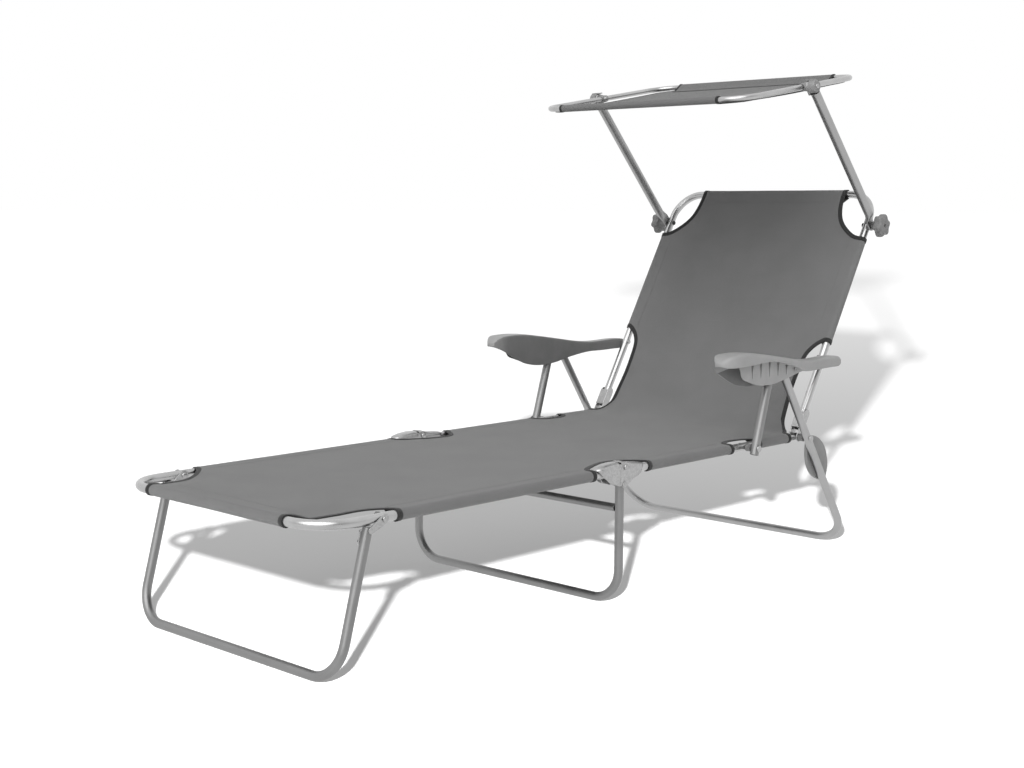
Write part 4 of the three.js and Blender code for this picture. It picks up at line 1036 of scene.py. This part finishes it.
def fold_hinge():
    foot_eyes = [(FOLD_X, FOLD_Z, PLATE_EYE), (FOLD_X - PLATE_REACH, BED_HEIGHT, TUBE),
                 (FOLD_X - 0.032, BED_HEIGHT - 0.0125, TUBE), (FOLD_X - 0.0145, BED_HEIGHT - 0.0175, TUBE)]
    seat_eyes = [(FOLD_X, FOLD_Z, PLATE_EYE), (FOLD_X, MID_PIVOT_Z, 0.0064),
                 (FOLD_X - 0.006, BED_HEIGHT - 0.018, TUBE), (FOLD_X + 0.013, BED_HEIGHT - 0.0165, TUBE),
                 (FOLD_X + PLATE_REACH, BED_HEIGHT, TUBE)]
    foot_half = TUBE_FLAT + 2 * CLEARANCE + 2 * PLATE + SADDLE_SKIN
    seat_half = TUBE_FLAT + CLEARANCE + PLATE + SADDLE_SKIN
    crown = [(-0.0578, 0.0098, 0.0096, -0.004, 0.016), (-0.0572, 0.0108, 0.0107, -0.0052, 0.016),
             (-0.0556, 0.0128, 0.0127, -0.0072, 0.016), (-0.053, 0.0147, 0.0144, -0.0098, 0.015),
             (-0.0485, foot_half, 0.0162, -0.0142, 0.0118),
             (-0.043, foot_half, 0.0177, -0.0178, 0.0085), (-0.036, foot_half, 0.0189, -0.0205, 0.0045),
             (-0.0285, foot_half, 0.0194, -0.0222, 0.0015), (-0.021, foot_half, 0.0194, -0.0228, 0),
             (-0.0155, foot_half, 0.0192, -0.0228, 0), (-0.0145, foot_half - 0.0004, 0.0188, -0.0221, 0)]
    bridge = [(-0.0055, 0.0106, 0.0178, 0.0148, 0), (-0.004, 0.0108, 0.0188, 0.0144, 0),
              (0, 0.0108, 0.0197, 0.0144, 0), (0.0035, 0.0108, 0.0189, 0.014, 0),
              (0.0065, 0.0108, 0.0174, 0.0125, 0), (0.0125, 0.0108, 0.0146, 0.01, 0)]
    heel = [(0.054, 0.0096, 0.0092, -0.0005, -0.006), (0.0532, 0.0106, 0.01, -0.0025, -0.006),
            (0.0495, 0.012, 0.0112, -0.0075, -0.005), (0.044, seat_half, 0.0123, -0.0105, -0.003),
            (0.036, seat_half, 0.0132, -0.0138, -0.001), (0.026, seat_half, 0.0137, -0.0162, 0),
            (0.0002, seat_half, 0.0137, -0.0172, -0.0125),
            (-0.001, seat_half - 0.0004, 0.0133, -0.0165, -0.0125)]
    for side, sign in SIDES:
        for face, where in ((1, "outer"), (-1, "inner")):
            inner, outer = plate_faces(sign, face, 1)
            piece = pressed_plate(f"foot_hinge_pressing_{where}_{side}", eye_outline(foot_eyes), inner, outer,
                                  zinc_sheet, bed_frame, foot_plate_form)
            place_piece(piece, "foot_section", f"foot_hinge_plate_{where}_{side}")
            inner, outer = plate_faces(sign, face, 0)
            piece = pressed_plate(f"seat_hinge_pressing_{where}_{side}", eye_outline(seat_eyes), inner, outer,
                                  zinc_sheet, bed_frame)
            place_piece(piece, "seat", f"seat_hinge_plate_{where}_{side}")
        world = bed_frame @ Matrix.Translation((FOLD_X, sign * HALF_WIDTH, BED_HEIGHT))
        hinge_saddle(f"foot_hinge_saddle_{side}", crown, world, "foot_section")
        hinge_saddle(f"seat_hinge_saddle_{side}", heel, world, "seat")
        hinge_saddle(f"seat_hinge_bridge_{side}", bridge, world, "seat")
        # The fold rivet also clears the boss round its eye.
        for name, height, layer, gap in (("fold_rivet", FOLD_Z, 1, CLEARANCE + 0.0012),
                                         ("mid_leg_rivet", MID_PIVOT_Z, 0, CLEARANCE)):
            low, high = (plate_faces(sign, face, layer)[1] + sign * face * gap for face in (-1, 1))
            rivet(f"{name}_{side}", FOLD_X, height, low, high, "seat")


def front_brackets():
    spots = [front_leg_point(down) for down in (0.01, 0.026)]
    pivot = (BRACKET_X, BED_HEIGHT)
    eyes = [(*pivot, 0.01), (*spots[0], 0.005), (*spots[1], 0.005)]
    strap_end = front_leg_point(0.004)
    strap_eyes = [(*pivot, 0.0085), (*strap_end, 0.006)]
    strap = 0.002  # thickness
    fall = (Vector(strap_end) - Vector(pivot)).normalized()

    def plate_form(x, z):
        return bump_at(x, z, pivot, 0.007, 0.0006)

    def strap_form(x, z):
        """A rim along the strap's lower edge, and a boss round the rivet."""
        across = (x - BRACKET_X) * fall.y - (z - BED_HEIGHT) * fall.x
        return 0.0012 * smooth_step(across, 0.002, 0.006) + bump_at(x, z, pivot, 0.006, 0.0006)

    for side, sign in SIDES:
        outer = sign * (HALF_WIDTH - TUBE_FLAT - CLEARANCE)
        inner = outer - sign * PLATE
        piece = pressed_plate(f"front_leg_bracket_plate_{side}", eye_outline(eyes), outer, inner, zinc_sheet,
                              bed_frame, plate_form)
        place_piece(piece, "front_leg", f"front_leg_bracket_{side}")
        near = sign * (HALF_WIDTH + TUBE + CLEARANCE)
        piece = pressed_plate(f"front_leg_strap_{side}", eye_outline(strap_eyes), near, near + sign * strap,
                              zinc_sheet, bed_frame, strap_form)
        place_piece(piece, "front_leg")
        for i, (x, z) in enumerate(spots):
            head = inner - sign * 0.005
            profile = [(head, 0.0004), (head + sign * 0.0002, 0.0018), (head + sign * 0.001, 0.0034),
                       (head + sign * 0.0024, 0.0044), (inner, 0.0045), (inner, 0.003),
                       (sign * HALF_WIDTH, 0.003), (sign * HALF_WIDTH, 0.0004)]
            piece = turned(f"front_leg_stud_{i + 1}_{side}", profile, bright_tube,
                           bed_frame @ Matrix.Translation((x, 0, z)))
            place_piece(piece, "front_leg")
        rivet(f"front_leg_rivet_{side}", *pivot, inner - sign * CLEARANCE,
              near + sign * (strap + 0.0006 + CLEARANCE), "foot_section")


def bolts_and_bushes():
    clevis_outer = TUBE_FLAT + 2 * CLEARANCE + PLATE
    for side, sign in SIDES:
        rivet(f"recline_bolt_{side}", RECLINE_X, BED_HEIGHT, sign * (REAR_LEG_Y + TUBE + CLEARANCE),
              sign * (HALF_WIDTH - clevis_outer), "seat", shank=0.004)
        rivet(f"strut_bolt_{side}", STRUT_X, BED_HEIGHT, sign * (STRUT_Y + STRUT_TUBE + CLEARANCE),
              sign * (HALF_WIDTH - TUBE - CLEARANCE), "seat", shank=0.004)
        comb_x, comb_z = away(RECLINE_X, BED_HEIGHT, REAR_TOP - 0.009, math.pi - REAR_ANGLE)
        rivet(f"rear_leg_pin_{side}", comb_x, comb_z, sign * (REAR_LEG_Y - 0.01), sign * (REAR_LEG_Y + 0.01),
              "rear_leg")
        for name, x, start, end in (
                ("recline_bush", RECLINE_X, HALF_WIDTH + clevis_outer, REAR_LEG_Y - TUBE - CLEARANCE),
                ("strut_bush", STRUT_X, HALF_WIDTH + TUBE + CLEARANCE, STRUT_Y - STRUT_TUBE - CLEARANCE)):
            profile = [(start, 0.0044), (start, 0.0074), (start + 0.0005, 0.008),
                       (start + 0.4 * (end - start), 0.0076)]
            profile += [(start + end - y, radius) for y, radius in reversed(profile)]
            profile = [(sign * y, radius) for y, radius in profile]
            piece = turned(f"{name}_ring_{side}", profile, fitting_plastic,
                           bed_frame @ Matrix.Translation((x, 0, BED_HEIGHT)))
            place_piece(piece, "seat", f"{name}_{side}")


def rear_leg_guards():
    length, width, along, offset = 0.132, 0.076, 0.072, 0.017
    middle = away(RECLINE_X, BED_HEIGHT, along, -REAR_ANGLE)
    centre = away(*middle, offset, math.pi / 2 - REAR_ANGLE)

    def leaf(share, side):
        """The rim on one side of the leaf, a share of the way down."""
        spot = away(*centre, length * (share - 0.5), -REAR_ANGLE)
        return away(*spot, side * width * 2 * share * (1 - share), math.pi / 2 - REAR_ANGLE)

    steps = 30
    outline = [leaf(i / steps, 1) for i in range(steps)] + [leaf(1 - i / steps, -1) for i in range(steps)]

    def form(x, z):
        """The leaf swells behind the leg, past a groove that the leg lies in."""
        dx, dz = x - middle[0], z - middle[1]
        behind = dx * math.cos(math.pi / 2 - REAR_ANGLE) + dz * math.sin(math.pi / 2 - REAR_ANGLE)
        down = dx * math.cos(-REAR_ANGLE) + dz * math.sin(-REAR_ANGLE)
        return 0.0042 * smooth_step(behind, 0.0105, 0.019) * (1 - smooth_step(behind, 0.03, 0.055)) \
            * (1 - smooth_step(abs(down), 0.02, 0.06))

    for side, sign in SIDES:
        outer = sign * (REAR_LEG_Y - TUBE - CLEARANCE)
        piece = pressed_plate(f"rear_leg_leaf_{side}", outline, outer - sign * 0.0068, outer, guard_plastic,
                              bed_frame, form, edge=0.0015)
        place_piece(piece, "rear_leg", f"rear_leg_guard_{side}")


def back_clevises():
    inner = TUBE_FLAT + CLEARANCE
    end = 3 * BACK_START
    for side, sign in SIDES:
        y = sign * HALF_WIDTH
        eyes = [(0, 0, PLATE_EYE), (end, 0, PLATE_EYE - CLEARANCE)]
        for face, where in ((1, "outer"), (-1, "inner")):
            piece = pressed_plate(f"back_clevis_cheek_{where}_{side}", eye_outline(eyes), y + face * inner,
                                  y + face * (inner + PLATE), zinc_sheet, back_frame)
            place_piece(piece, "back", f"back_clevis_{side}")
        rings = []
        for x, trim in ((BACK_START, 0.0006), (BACK_START + 0.0006, 0), (end - 0.0006, 0), (end, 0.0006)):
            half, low, high = inner + PLATE - trim, inner + trim, inner + PLATE
            rings.append([(x, y - half, low), (x, y + half, low),
                          (x, y + half, high - 0.0008), (x, y + half - 0.0008, high - trim),
                          (x, y - half + 0.0008, high - trim), (x, y - half, high - 0.0008)])
        place_piece(loft(f"back_clevis_web_{side}", rings, zinc_sheet, back_frame), "back")
        head = HALF_WIDTH - TUBE - CLEARANCE
        tip = ARMREST_INNER + 0.02
        profile = [(head - 0.003, 0.0005), (head - 0.0029, 0.0028), (head - 0.0022, 0.0045),
                   (head - 0.001, 0.0053), (head, 0.0054), (head, 0.003), (tip, 0.003), (tip, 0.0005)]
        piece = turned(f"armrest_bolt_{side}_domed", [(sign * a, b) for a, b in profile], zinc_sheet,
                       back_frame @ Matrix.Translation((ARMREST_ALONG, 0, 0)))
        place_piece(piece, "back", f"armrest_bolt_{side}")


# Armrest profiles: ahead of the pivot, and above it.
ARMREST_REACH = 0.438
ARMREST_TAIL = 0.011
ARMREST_INNER = 0.288
ARMREST_WIDTH = 0.051
ARMREST_WALL = 0.73  # the comb's wall stands this share of the width out
TOP_LINE = [(-0.011, 0.0026), (-0.0053, 0.007), (0.035, 0.0088), (0.105, 0.007), (0.162, 0.0114),
            (0.215, 0.0193), (0.285, 0.0298), (0.355, 0.0381), (0.416, 0.0372), (0.431, 0.0307),
            (0.438, 0.0219)]
BAND_LINE = [(-0.011, -0.0105), (-0.0053, -0.0149), (0.0263, -0.0158), (0.0964, -0.0166), (0.1577, -0.0131),
             (0.1796, -0.0048), (0.219, 0.0048), (0.2584, 0.0131), (0.2935, 0.0162), (0.3635, 0.0131),
             (0.429, 0.0123), (0.438, 0.0158)]
INNER_LINE = [(-0.011, -0.0105), (-0.0053, -0.0149), (0.0088, -0.0158), (0.1226, -0.0166), (0.197, -0.025),
              (0.245, -0.034), (0.298, -0.0368), (0.3416, -0.031), (0.372, -0.02), (0.4227, 0.0061),
              (0.4314, 0.0122), (0.438, 0.0158)]
BELLY_LINE = [(0.14, -0.0149), (0.175, -0.0188), (0.228, -0.028), (0.254, -0.032), (0.289, -0.0329),
              (0.32, -0.0298), (0.35, -0.021), (0.372, -0.011), (0.381, 0.0125)]


def line_at(line, ahead):
    """Height of a profile line, eased between its points."""
    if ahead <= line[0][0]:
        return line[0][1]
    for i in range(len(line) - 1):
        (a, low), (b, high) = line[i], line[i + 1]
        if ahead <= b:
            before = line[max(i - 1, 0)]
            after = line[min(i + 2, len(line) - 1)]
            start_slope = (high - before[1]) / max(b - before[0], 1e-6)
            end_slope = (after[1] - low) / max(after[0] - a, 1e-6)
            t, span = (ahead - a) / (b - a), b - a
            return ((2 * t ** 3 - 3 * t * t + 1) * low + (t ** 3 - 2 * t * t + t) * span * start_slope
                    + (3 * t * t - 2 * t ** 3) * high + (t ** 3 - t * t) * span * end_slope)
    return line[-1][1]


def round_corners(corners):
    """A closed outline with its corners rounded; a corner is Y, Z and radius."""
    outline = []
    count = len(corners)
    for i, (y, z, radius) in enumerate(corners):
        here = Vector((y, z))
        before = Vector(corners[i - 1][:2]) - here
        after = Vector(corners[(i + 1) % count][:2]) - here
        start = here + before.normalized() * min(radius, 0.45 * before.length)
        end = here + after.normalized() * min(radius, 0.45 * after.length)
        for k in range(5):
            t = k / 4
            outline.append(start * (1 - t) ** 2 + here * 2 * t * (1 - t) + end * t * t)
    return outline


def armrest_section(ahead):
    """Outline of the moulding across its length: rim, crown, outer band, comb's wall, hollow."""
    tail_width, nose_length = 0.03, 0.034
    inner, outer = 0.0, tail_width + (ARMREST_WIDTH - tail_width) * smooth_step(ahead, 0.05, 0.21)
    nose = ARMREST_REACH - nose_length
    if ahead > nose:
        t = min((ahead - nose) / nose_length, 0.996)
        shrink = 1 - math.sqrt(1 - t * t)
        inner += shrink * ARMREST_WIDTH / 2
        outer -= shrink * ARMREST_WIDTH / 2
    top, band = line_at(TOP_LINE, ahead), line_at(BAND_LINE, ahead)
    side = min(line_at(INNER_LINE, ahead), band)
    in_belly = BELLY_LINE[0][0] < ahead < BELLY_LINE[-1][0]
    belly = min(line_at(BELLY_LINE, ahead), band - 0.0003) if in_belly else band - 0.0003
    wall = inner + (outer - inner) * ARMREST_WALL
    thin = 0.0026 * (outer - inner) / ARMREST_WIDTH
    hollow = smooth_step(ahead, 0.03, 0.05) * (1 - smooth_step(ahead, 0.39, 0.41))
    inner_roof = side + (top - 0.006 - side) * hollow
    outer_roof = belly + (top - 0.006 - belly) * hollow
    crown = 0.0012 * (outer - inner) / ARMREST_WIDTH
    corners = [
        (inner, side, 0.0012), (inner, top - 0.0012, 0.0048),
        ((inner + outer) / 2, top + crown - 0.0012, 0.012),
        (outer, top - 0.0016, 0.0062), (outer, band, 0.0018), (wall, band, 0.0012), (wall, belly, 0.0022),
        (wall - thin, belly, 0.0007), (wall - thin, outer_roof, 0.002), (inner + thin, inner_roof, 0.002),
        (inner + thin, side, 0.0007)]
    return round_corners(corners)


def armrests():
    stations = []
    ahead = -ARMREST_TAIL
    while ahead < ARMREST_REACH - 0.0003:
        stations.append(ahead)
        near_end = min(ahead + ARMREST_TAIL, ARMREST_REACH - ahead)
        ahead += 0.0008 if near_end < 0.004 else 0.002 if near_end < 0.02 else 0.005
    for side, sign in SIDES:
        rings = [[(-ahead, sign * (ARMREST_INNER + y), z) for y, z in armrest_section(ahead)]
                 for ahead in stations]
        piece = loft(f"armrest_moulding_{side}", rings, armrest_plastic, armrest_frame, crease=50)
        cut_comb(piece, sign)
        # Painted shade: the sides that look to the sitter, and the hollow's wall, take the darker, matter
        # copy of the plastic, standing in for the shade under the crown.
        piece.data.materials.append(painted_shade_armrest_plastic)
        for face in piece.data.polygons:
            facing = face.normal.y * sign
            if facing < -0.5 or facing > 0.5 and abs(face.center.y) < ARMREST_INNER + 0.01:
                face.material_index = 1
        place_piece(piece, f"armrest_{side}", f"armrest_{side}")


def cut_comb(piece, sign):
    """Cuts the comb's slots, which narrow downwards, through the outer wall."""
    wall = ARMREST_INNER + ARMREST_WIDTH * ARMREST_WALL
    slots, first_slot, slot_pitch = 6, 0.3375, 0.0309
    cutter = bmesh.new()
    for i in range(slots):
        ahead = first_slot - slot_pitch * i
        top = line_at(BAND_LINE, ahead) + 0.003
        bottom = max(line_at(BELLY_LINE, ahead) + 0.009, -0.0165)
        corners = []
        for y in (wall - 0.0045, wall + 0.0035):
            for half, z in ((0.0042, top), (-0.0042, top), (-0.0006, bottom), (0.0006, bottom)):
                corners.append(cutter.verts.new(armrest_frame @ Vector((half - ahead, sign * y, z))))
        near, far = corners[:4], corners[4:]
        cutter.faces.new(near)
        cutter.faces.new(reversed(far))
        for a, b, c, d in zip(near, near[1:] + near[:1], far[1:] + far[:1], far):
            cutter.faces.new((b, a, d, c))
    bmesh.ops.recalc_face_normals(cutter, faces=cutter.faces)
    mesh = bpy.data.meshes.new("comb_cutter")
    cutter.to_mesh(mesh)
    cutter.free()
    tool = bpy.data.objects.new("comb_cutter", mesh)
    scene.collection.objects.link(tool)
    comb = piece.modifiers.new("comb", "BOOLEAN")
    comb.operation = "DIFFERENCE"
    comb.solver = "EXACT"
    comb.object = tool
    bpy.context.view_layer.update()
    shaped = bpy.data.meshes.new_from_object(piece.evaluated_get(bpy.context.evaluated_depsgraph_get()))
    piece.modifiers.clear()
    piece.data = shaped
    shaped.set_sharp_from_angle(angle=math.radians(50))
    bpy.data.objects.remove(tool)


# Knobs, canopy arms and canopy.
ARM_Y = HALF_WIDTH + TUBE_FLAT + CLEARANCE + ARM_FLAT


def knobs():
    face = ARM_Y + ARM_FLAT + CLEARANCE
    grip = face + 0.013
    profile = [
        (face, 0.0035, 0), (face, 0.0072, 0), (face + 0.0006, 0.008, 0), (face + 0.006, 0.0098, 0),
        (grip - 0.001, 0.0135, 0), (grip + 0.0002, 0.0175, 0.0014), (grip + 0.001, 0.0228, 0.004),
        (grip + 0.003, 0.0258, 0.0058), (grip + 0.0055, 0.0265, 0.0064), (grip + 0.013, 0.0265, 0.0064),
        (grip + 0.016, 0.0258, 0.006), (grip + 0.0182, 0.0238, 0.005), (grip + 0.0194, 0.0205, 0.0032),
        (grip + 0.0196, 0.0165, 0.001), (grip + 0.0194, 0.0052, 0), (grip + 0.019, 0.004, 0),
        (grip + 0.016, 0.0036, 0), (grip + 0.016, 0.0002, 0)]
    head = HALF_WIDTH - TUBE - CLEARANCE
    stud = [(head - 0.003, 0.0005), (head - 0.0028, 0.003), (head - 0.0018, 0.0048), (head, 0.0054),
            (head, 0.003), (grip + 0.0168, 0.0029), (grip + 0.0168, 0.0005)]
    for side, sign in SIDES:
        piece = turned(f"knob_grip_{side}", [(sign * y, r, d) for y, r, d in profile], knob_plastic,
                       arm_frame, sides=96, lobes=6)
        place_piece(piece, f"knob_{side}", f"knob_{side}")
        piece = turned(f"knob_stud_{side}", [(sign * y, r) for y, r in stud], dark_steel, arm_frame)
        place_piece(piece, f"knob_{side}")


def canopy_arms():
    """Tubes pressed flat at both ends. A station is X, half width if pressed, and how round it is."""
    eye = ARM_EYE
    angles = [math.pi / 2 * i / 12 for i in range(13)]
    round_end = [(-eye * math.cos(angle), eye * max(math.sin(angle), 0.03), 0.0) for angle in angles]
    round_end.append((0.006, eye, 0.0))

    def pressed_end(flat, ease, steps):
        """The eye, flat up to a place, then round again within the ease."""
        return round_end + [(flat, eye, 0.0)] \
            + [(flat + ease * i / steps, None, i / steps) for i in range(1, steps + 1)]

    middle = [(ARM_LENGTH * share, None, 1.0) for share in (0.3, 0.5, 0.7)]
    # At the clamp the tube is pressed flat only under the cheeks.
    clamp_end = [(ARM_LENGTH - x, *rest) for x, *rest in pressed_end(0.0139, 0.0015, 6)]
    for side, sign in SIDES:
        rings = []
        for x, half, round_share in pressed_end(0.0145, 0.022, 10) + middle + clamp_end[::-1]:
            ease = smooth_step(round_share, 0, 1)
            high = half if half is not None else eye + (ARM_TUBE - eye) * ease
            thick = ARM_FLAT + (ARM_TUBE - ARM_FLAT) * ease
            y = sign * (ARM_Y - ARM_FLAT + thick)
            power = 1 - 0.62 * (1 - ease)  # squares the pressed ends
            ring = []
            for k in range(TUBE_SIDES):
                angle = 2 * math.pi * k / TUBE_SIDES
                across, up = (math.copysign(abs(v) ** power, v) for v in (math.cos(angle), math.sin(angle)))
                ring.append((x, y + thick * across, high * up))
            rings.append(ring)
        place_piece(loft(f"canopy_arm_tube_{side}", rings, arm_tube, arm_frame), "canopy_arms",
                    f"canopy_arm_{side}")


CLAMP_CHEEK = 0.0165  # thickness of the outer cheek
CLAMP_RIMS = (0.0095, 0.0138)  # radius of the inner and outer cheek
CLAMP_HALF = 0.011  # half the length of the sleeve round the hoops' ends


def canopy_frame_tubes():
    for name, direction, reach in (("front", -1, CANOPY_FRONT), ("rear", 1, CANOPY_REAR)):
        start = direction * 0.004
        corners = u_shape((start, 0), (direction * reach, 0), CANOPY_HALF)
        piece = tube(f"canopy_hoop_{name}_tube", corners, CANOPY_TUBE, UP, bright_tube, CANOPY_BEND,
                     canopy_frame)
        place_piece(piece, "canopy", f"canopy_hoop_{name}")
    bore, wall = CANOPY_TUBE + CLEARANCE, CANOPY_TUBE + 0.0017
    for side, sign in SIDES:
        lip = [(0.0005 - CLAMP_HALF, bore), (-CLAMP_HALF, bore + 0.0005), (-CLAMP_HALF, wall - 0.001),
               (0.0008 - CLAMP_HALF, wall - 0.0002)]
        belly = [(x / 1000, wall + 0.0006 * math.cos(math.pi * x / 20)) for x in range(-10, 11, 2)]
        profile = lip + belly + [(-x, radius) for x, radius in reversed(lip)]
        rings = [circle(Vector((x, sign * CANOPY_HALF, 0)), Vector((1, 0, 0)), Vector(UP), radius)
                 for x, radius in profile]
        rings.append(rings[0])
        piece = loft(f"canopy_clamp_sleeve_{side}", rings, clamp_plastic, canopy_frame, caps=False)
        place_piece(piece, "canopy", f"canopy_clamp_{side}")
        inner, outer = ARM_Y - ARM_FLAT - CLEARANCE, ARM_Y + ARM_FLAT + CLEARANCE
        cheek_end = outer + CLAMP_CHEEK
        for where, low, high, rim in (("inner", CANOPY_HALF, inner, CLAMP_RIMS[0]),
                                      ("outer", cheek_end, outer, CLAMP_RIMS[1])):
            towards = 1 if high > low else -1
            profile = [(low, 0.0005), (low, rim - 0.0034), (low + towards * 0.0008, rim - 0.0012),
                       (low + towards * 0.0028, rim), (high - towards * 0.0008, rim),
                       (high, rim - 0.0008), (high, 0.0005)]
            piece = turned(f"canopy_clamp_cheek_{where}_{side}", [(sign * a, b) for a, b in profile],
                           clamp_plastic, canopy_frame)
            place_piece(piece, "canopy")
        low, high = ARM_EYE + 2 * CLEARANCE, ARM_EYE + 0.0026
        bridge = [(-0.005, low), (0.003, low), (0.003, high), (-0.005, high)]
        rings = [[(x, sign * a, z) for x, z in bridge] for a in (CANOPY_HALF + 0.004, cheek_end - 0.003)]
        place_piece(loft(f"canopy_clamp_bridge_{side}", rings, clamp_plastic, canopy_frame), "canopy")
        rivet(f"clamp_bolt_{side}", 0, 0, sign * (cheek_end + CLEARANCE),
              sign * (CANOPY_HALF - wall - CLEARANCE), "canopy", canopy_frame)


frame_tubes()
leg_tubes()
bed_cloth()
canopy_cloth()
fold_hinge()
front_brackets()
bolts_and_bushes()
rear_leg_guards()
back_clevises()
armrests()
knobs()
canopy_arms()
canopy_frame_tubes()


# Camera and studio.
def place_camera():
    camera = bpy.data.cameras.new("camera")
    camera.sensor_width = 36
    camera.lens = 52.83
    camera.shift_x = 0.00547
    camera.shift_y = 0.0177
    camera.clip_end = 400
    holder = bpy.data.objects.new("camera", camera)
    scene.collection.objects.link(holder)
    yaw, pitch, roll = math.radians(46.398), math.radians(7.453), math.radians(0.181)
    holder.location = (-2.255518, -2.039912, 0.753548)
    look = Matrix.Rotation(-yaw, 4, "Z") @ Matrix.Rotation(math.pi / 2 - pitch, 4, "X") \
        @ Matrix.Rotation(roll, 4, "Z")
    holder.rotation_euler = look.to_euler()
    scene.camera = holder


FLASH = (-2.565, -2.027, 1.315)  # the lamp that throws the floor's shadow stands by the camera
WHITE = (1, 1, 1, 1)


def ray_kinds(tree):
    """Rays that see the backdrop as the camera does, and rays that mirror the studio."""
    rays = add_node(tree, "ShaderNodeLightPath")
    seen = add_node(tree, "ShaderNodeMath", {
        0: rays.outputs["Is Camera Ray"], 1: rays.outputs["Is Transmission Ray"]}, operation="MAXIMUM")
    return seen, rays.outputs["Is Glossy Ray"]


def white_floor():
    """A pale floor that is white to the camera, and greyer only where the object's shadow falls."""
    mesh = bpy.data.meshes.new("studio_floor")
    reach = 150
    corners = [(x * reach, y * reach, 0) for x, y in ((-1, -1), (1, -1), (1, 1), (-1, 1))]
    mesh.from_pydata(corners, [], [(0, 1, 2, 3)])
    material = bpy.data.materials.new("pale_studio_floor")
    tree = empty_tree(material)
    paint = add_node(tree, "ShaderNodeBsdfDiffuse", {"Color": (0.3, 0.3, 0.3, 1.0)})
    # Painted light: the floor's glow to the camera grows with the distance from the lamp, so the shadow is
    # densest under the object and pales further off.
    place = add_node(tree, "ShaderNodeTexCoord").outputs["Object"]
    distance = add_node(tree, "ShaderNodeVectorMath", {0: place, 1: FLASH}, operation="DISTANCE")
    further = add_node(tree, "ShaderNodeMath", {0: distance.outputs["Value"], 1: 5.4}, operation="ADD")
    fall = add_node(tree, "ShaderNodeMath", {0: 6.15, 1: further}, operation="DIVIDE")
    painted_glow_strength = add_node(tree, "ShaderNodeMath", {0: 1.0, 1: fall}, operation="SUBTRACT")
    glow = add_node(tree, "ShaderNodeEmission", {"Color": WHITE, "Strength": painted_glow_strength})
    lit = add_node(tree, "ShaderNodeAddShader", {0: paint, 1: glow})
    bounce = add_node(tree, "ShaderNodeBsdfDiffuse", {"Color": (0.2, 0.2, 0.2, 1.0)})
    mirrored = add_node(tree, "ShaderNodeEmission", {"Color": WHITE, "Strength": 1.0})
    seen, glossy = ray_kinds(tree)
    unseen = add_node(tree, "ShaderNodeMixShader", {0: glossy, 1: bounce, 2: mirrored})
    surface = add_node(tree, "ShaderNodeMixShader", {0: seen, 1: unseen, 2: lit})
    add_node(tree, "ShaderNodeOutputMaterial", {"Surface": surface})
    mesh.materials.append(material)
    floor = bpy.data.objects.new("studio_floor", mesh)
    scene.collection.objects.link(floor)
    return floor


def lamp(name, kind, strength, floor, on_floor, place=(0, 0, 0), direction=(0, 0, -1), **settings):
    """A lamp that lights either the floor alone or everything else."""
    light = bpy.data.lights.new(name, kind)
    light.energy = strength
    for key, value in settings.items():
        setattr(light, key, value)
    holder = bpy.data.objects.new(name, light)
    scene.collection.objects.link(holder)
    holder.location = place
    holder.rotation_euler = Vector(direction).to_track_quat("-Z", "Y").to_euler()
    receivers = bpy.data.collections.new(name + "_receivers")
    receivers.objects.link(floor)
    receivers.collection_objects[0].light_linking.link_state = "INCLUDE" if on_floor else "EXCLUDE"
    holder.light_linking.receiver_collection = receivers
    return light


def studio():
    floor = white_floor()
    flash = lamp("floor_light", "POINT", 350.0, floor, True, place=FLASH, shadow_soft_size=0.05)
    flash.use_nodes = True
    tree = flash.node_tree
    # Even over the whole floor, so that only the shadow shows.
    even = add_node(tree, "ShaderNodeLightFalloff", {"Strength": 1.0})
    tree.links.new(even.outputs["Constant"], tree.nodes["Emission"].inputs["Strength"])
    lamp("key_light", "SUN", 2.0, floor, False, direction=(0.7, 0.3, -0.62), angle=math.radians(66))
    world = bpy.data.worlds.new("studio_world")
    scene.world = world
    tree = empty_tree(world)
    place = add_node(tree, "ShaderNodeTexCoord").outputs["Generated"]
    axes = add_node(tree, "ShaderNodeSeparateXYZ", {"Vector": place})
    # The sky is twice as bright overhead as at the horizon; mirrored walls are greyer behind the camera.
    sky = add_node(tree, "ShaderNodeMapRange", {"Value": axes.outputs["Z"], "To Min": 0.22, "To Max": 0.44})
    ahead = add_node(tree, "ShaderNodeVectorMath", {0: place, 1: (0.72, 0.69, 0.0)}, operation="DOT_PRODUCT")
    walls = add_node(tree, "ShaderNodeMapRange", {
        "Value": ahead.outputs["Value"], "From Min": -0.75, "From Max": 0.1, "To Min": 0.6, "To Max": 1.0})
    white, soft, mirrored = (
        add_node(tree, "ShaderNodeBackground", {"Color": WHITE, "Strength": strength})
        for strength in (1.0, sky, walls))
    seen, glossy = ray_kinds(tree)
    unseen = add_node(tree, "ShaderNodeMixShader", {0: glossy, 1: soft, 2: mirrored})
    surface = add_node(tree, "ShaderNodeMixShader", {0: seen, 1: unseen, 2: white})
    add_node(tree, "ShaderNodeOutputWorld", {"Surface": surface})


place_camera()
studio()
scene.view_settings.view_transform = "Standard"
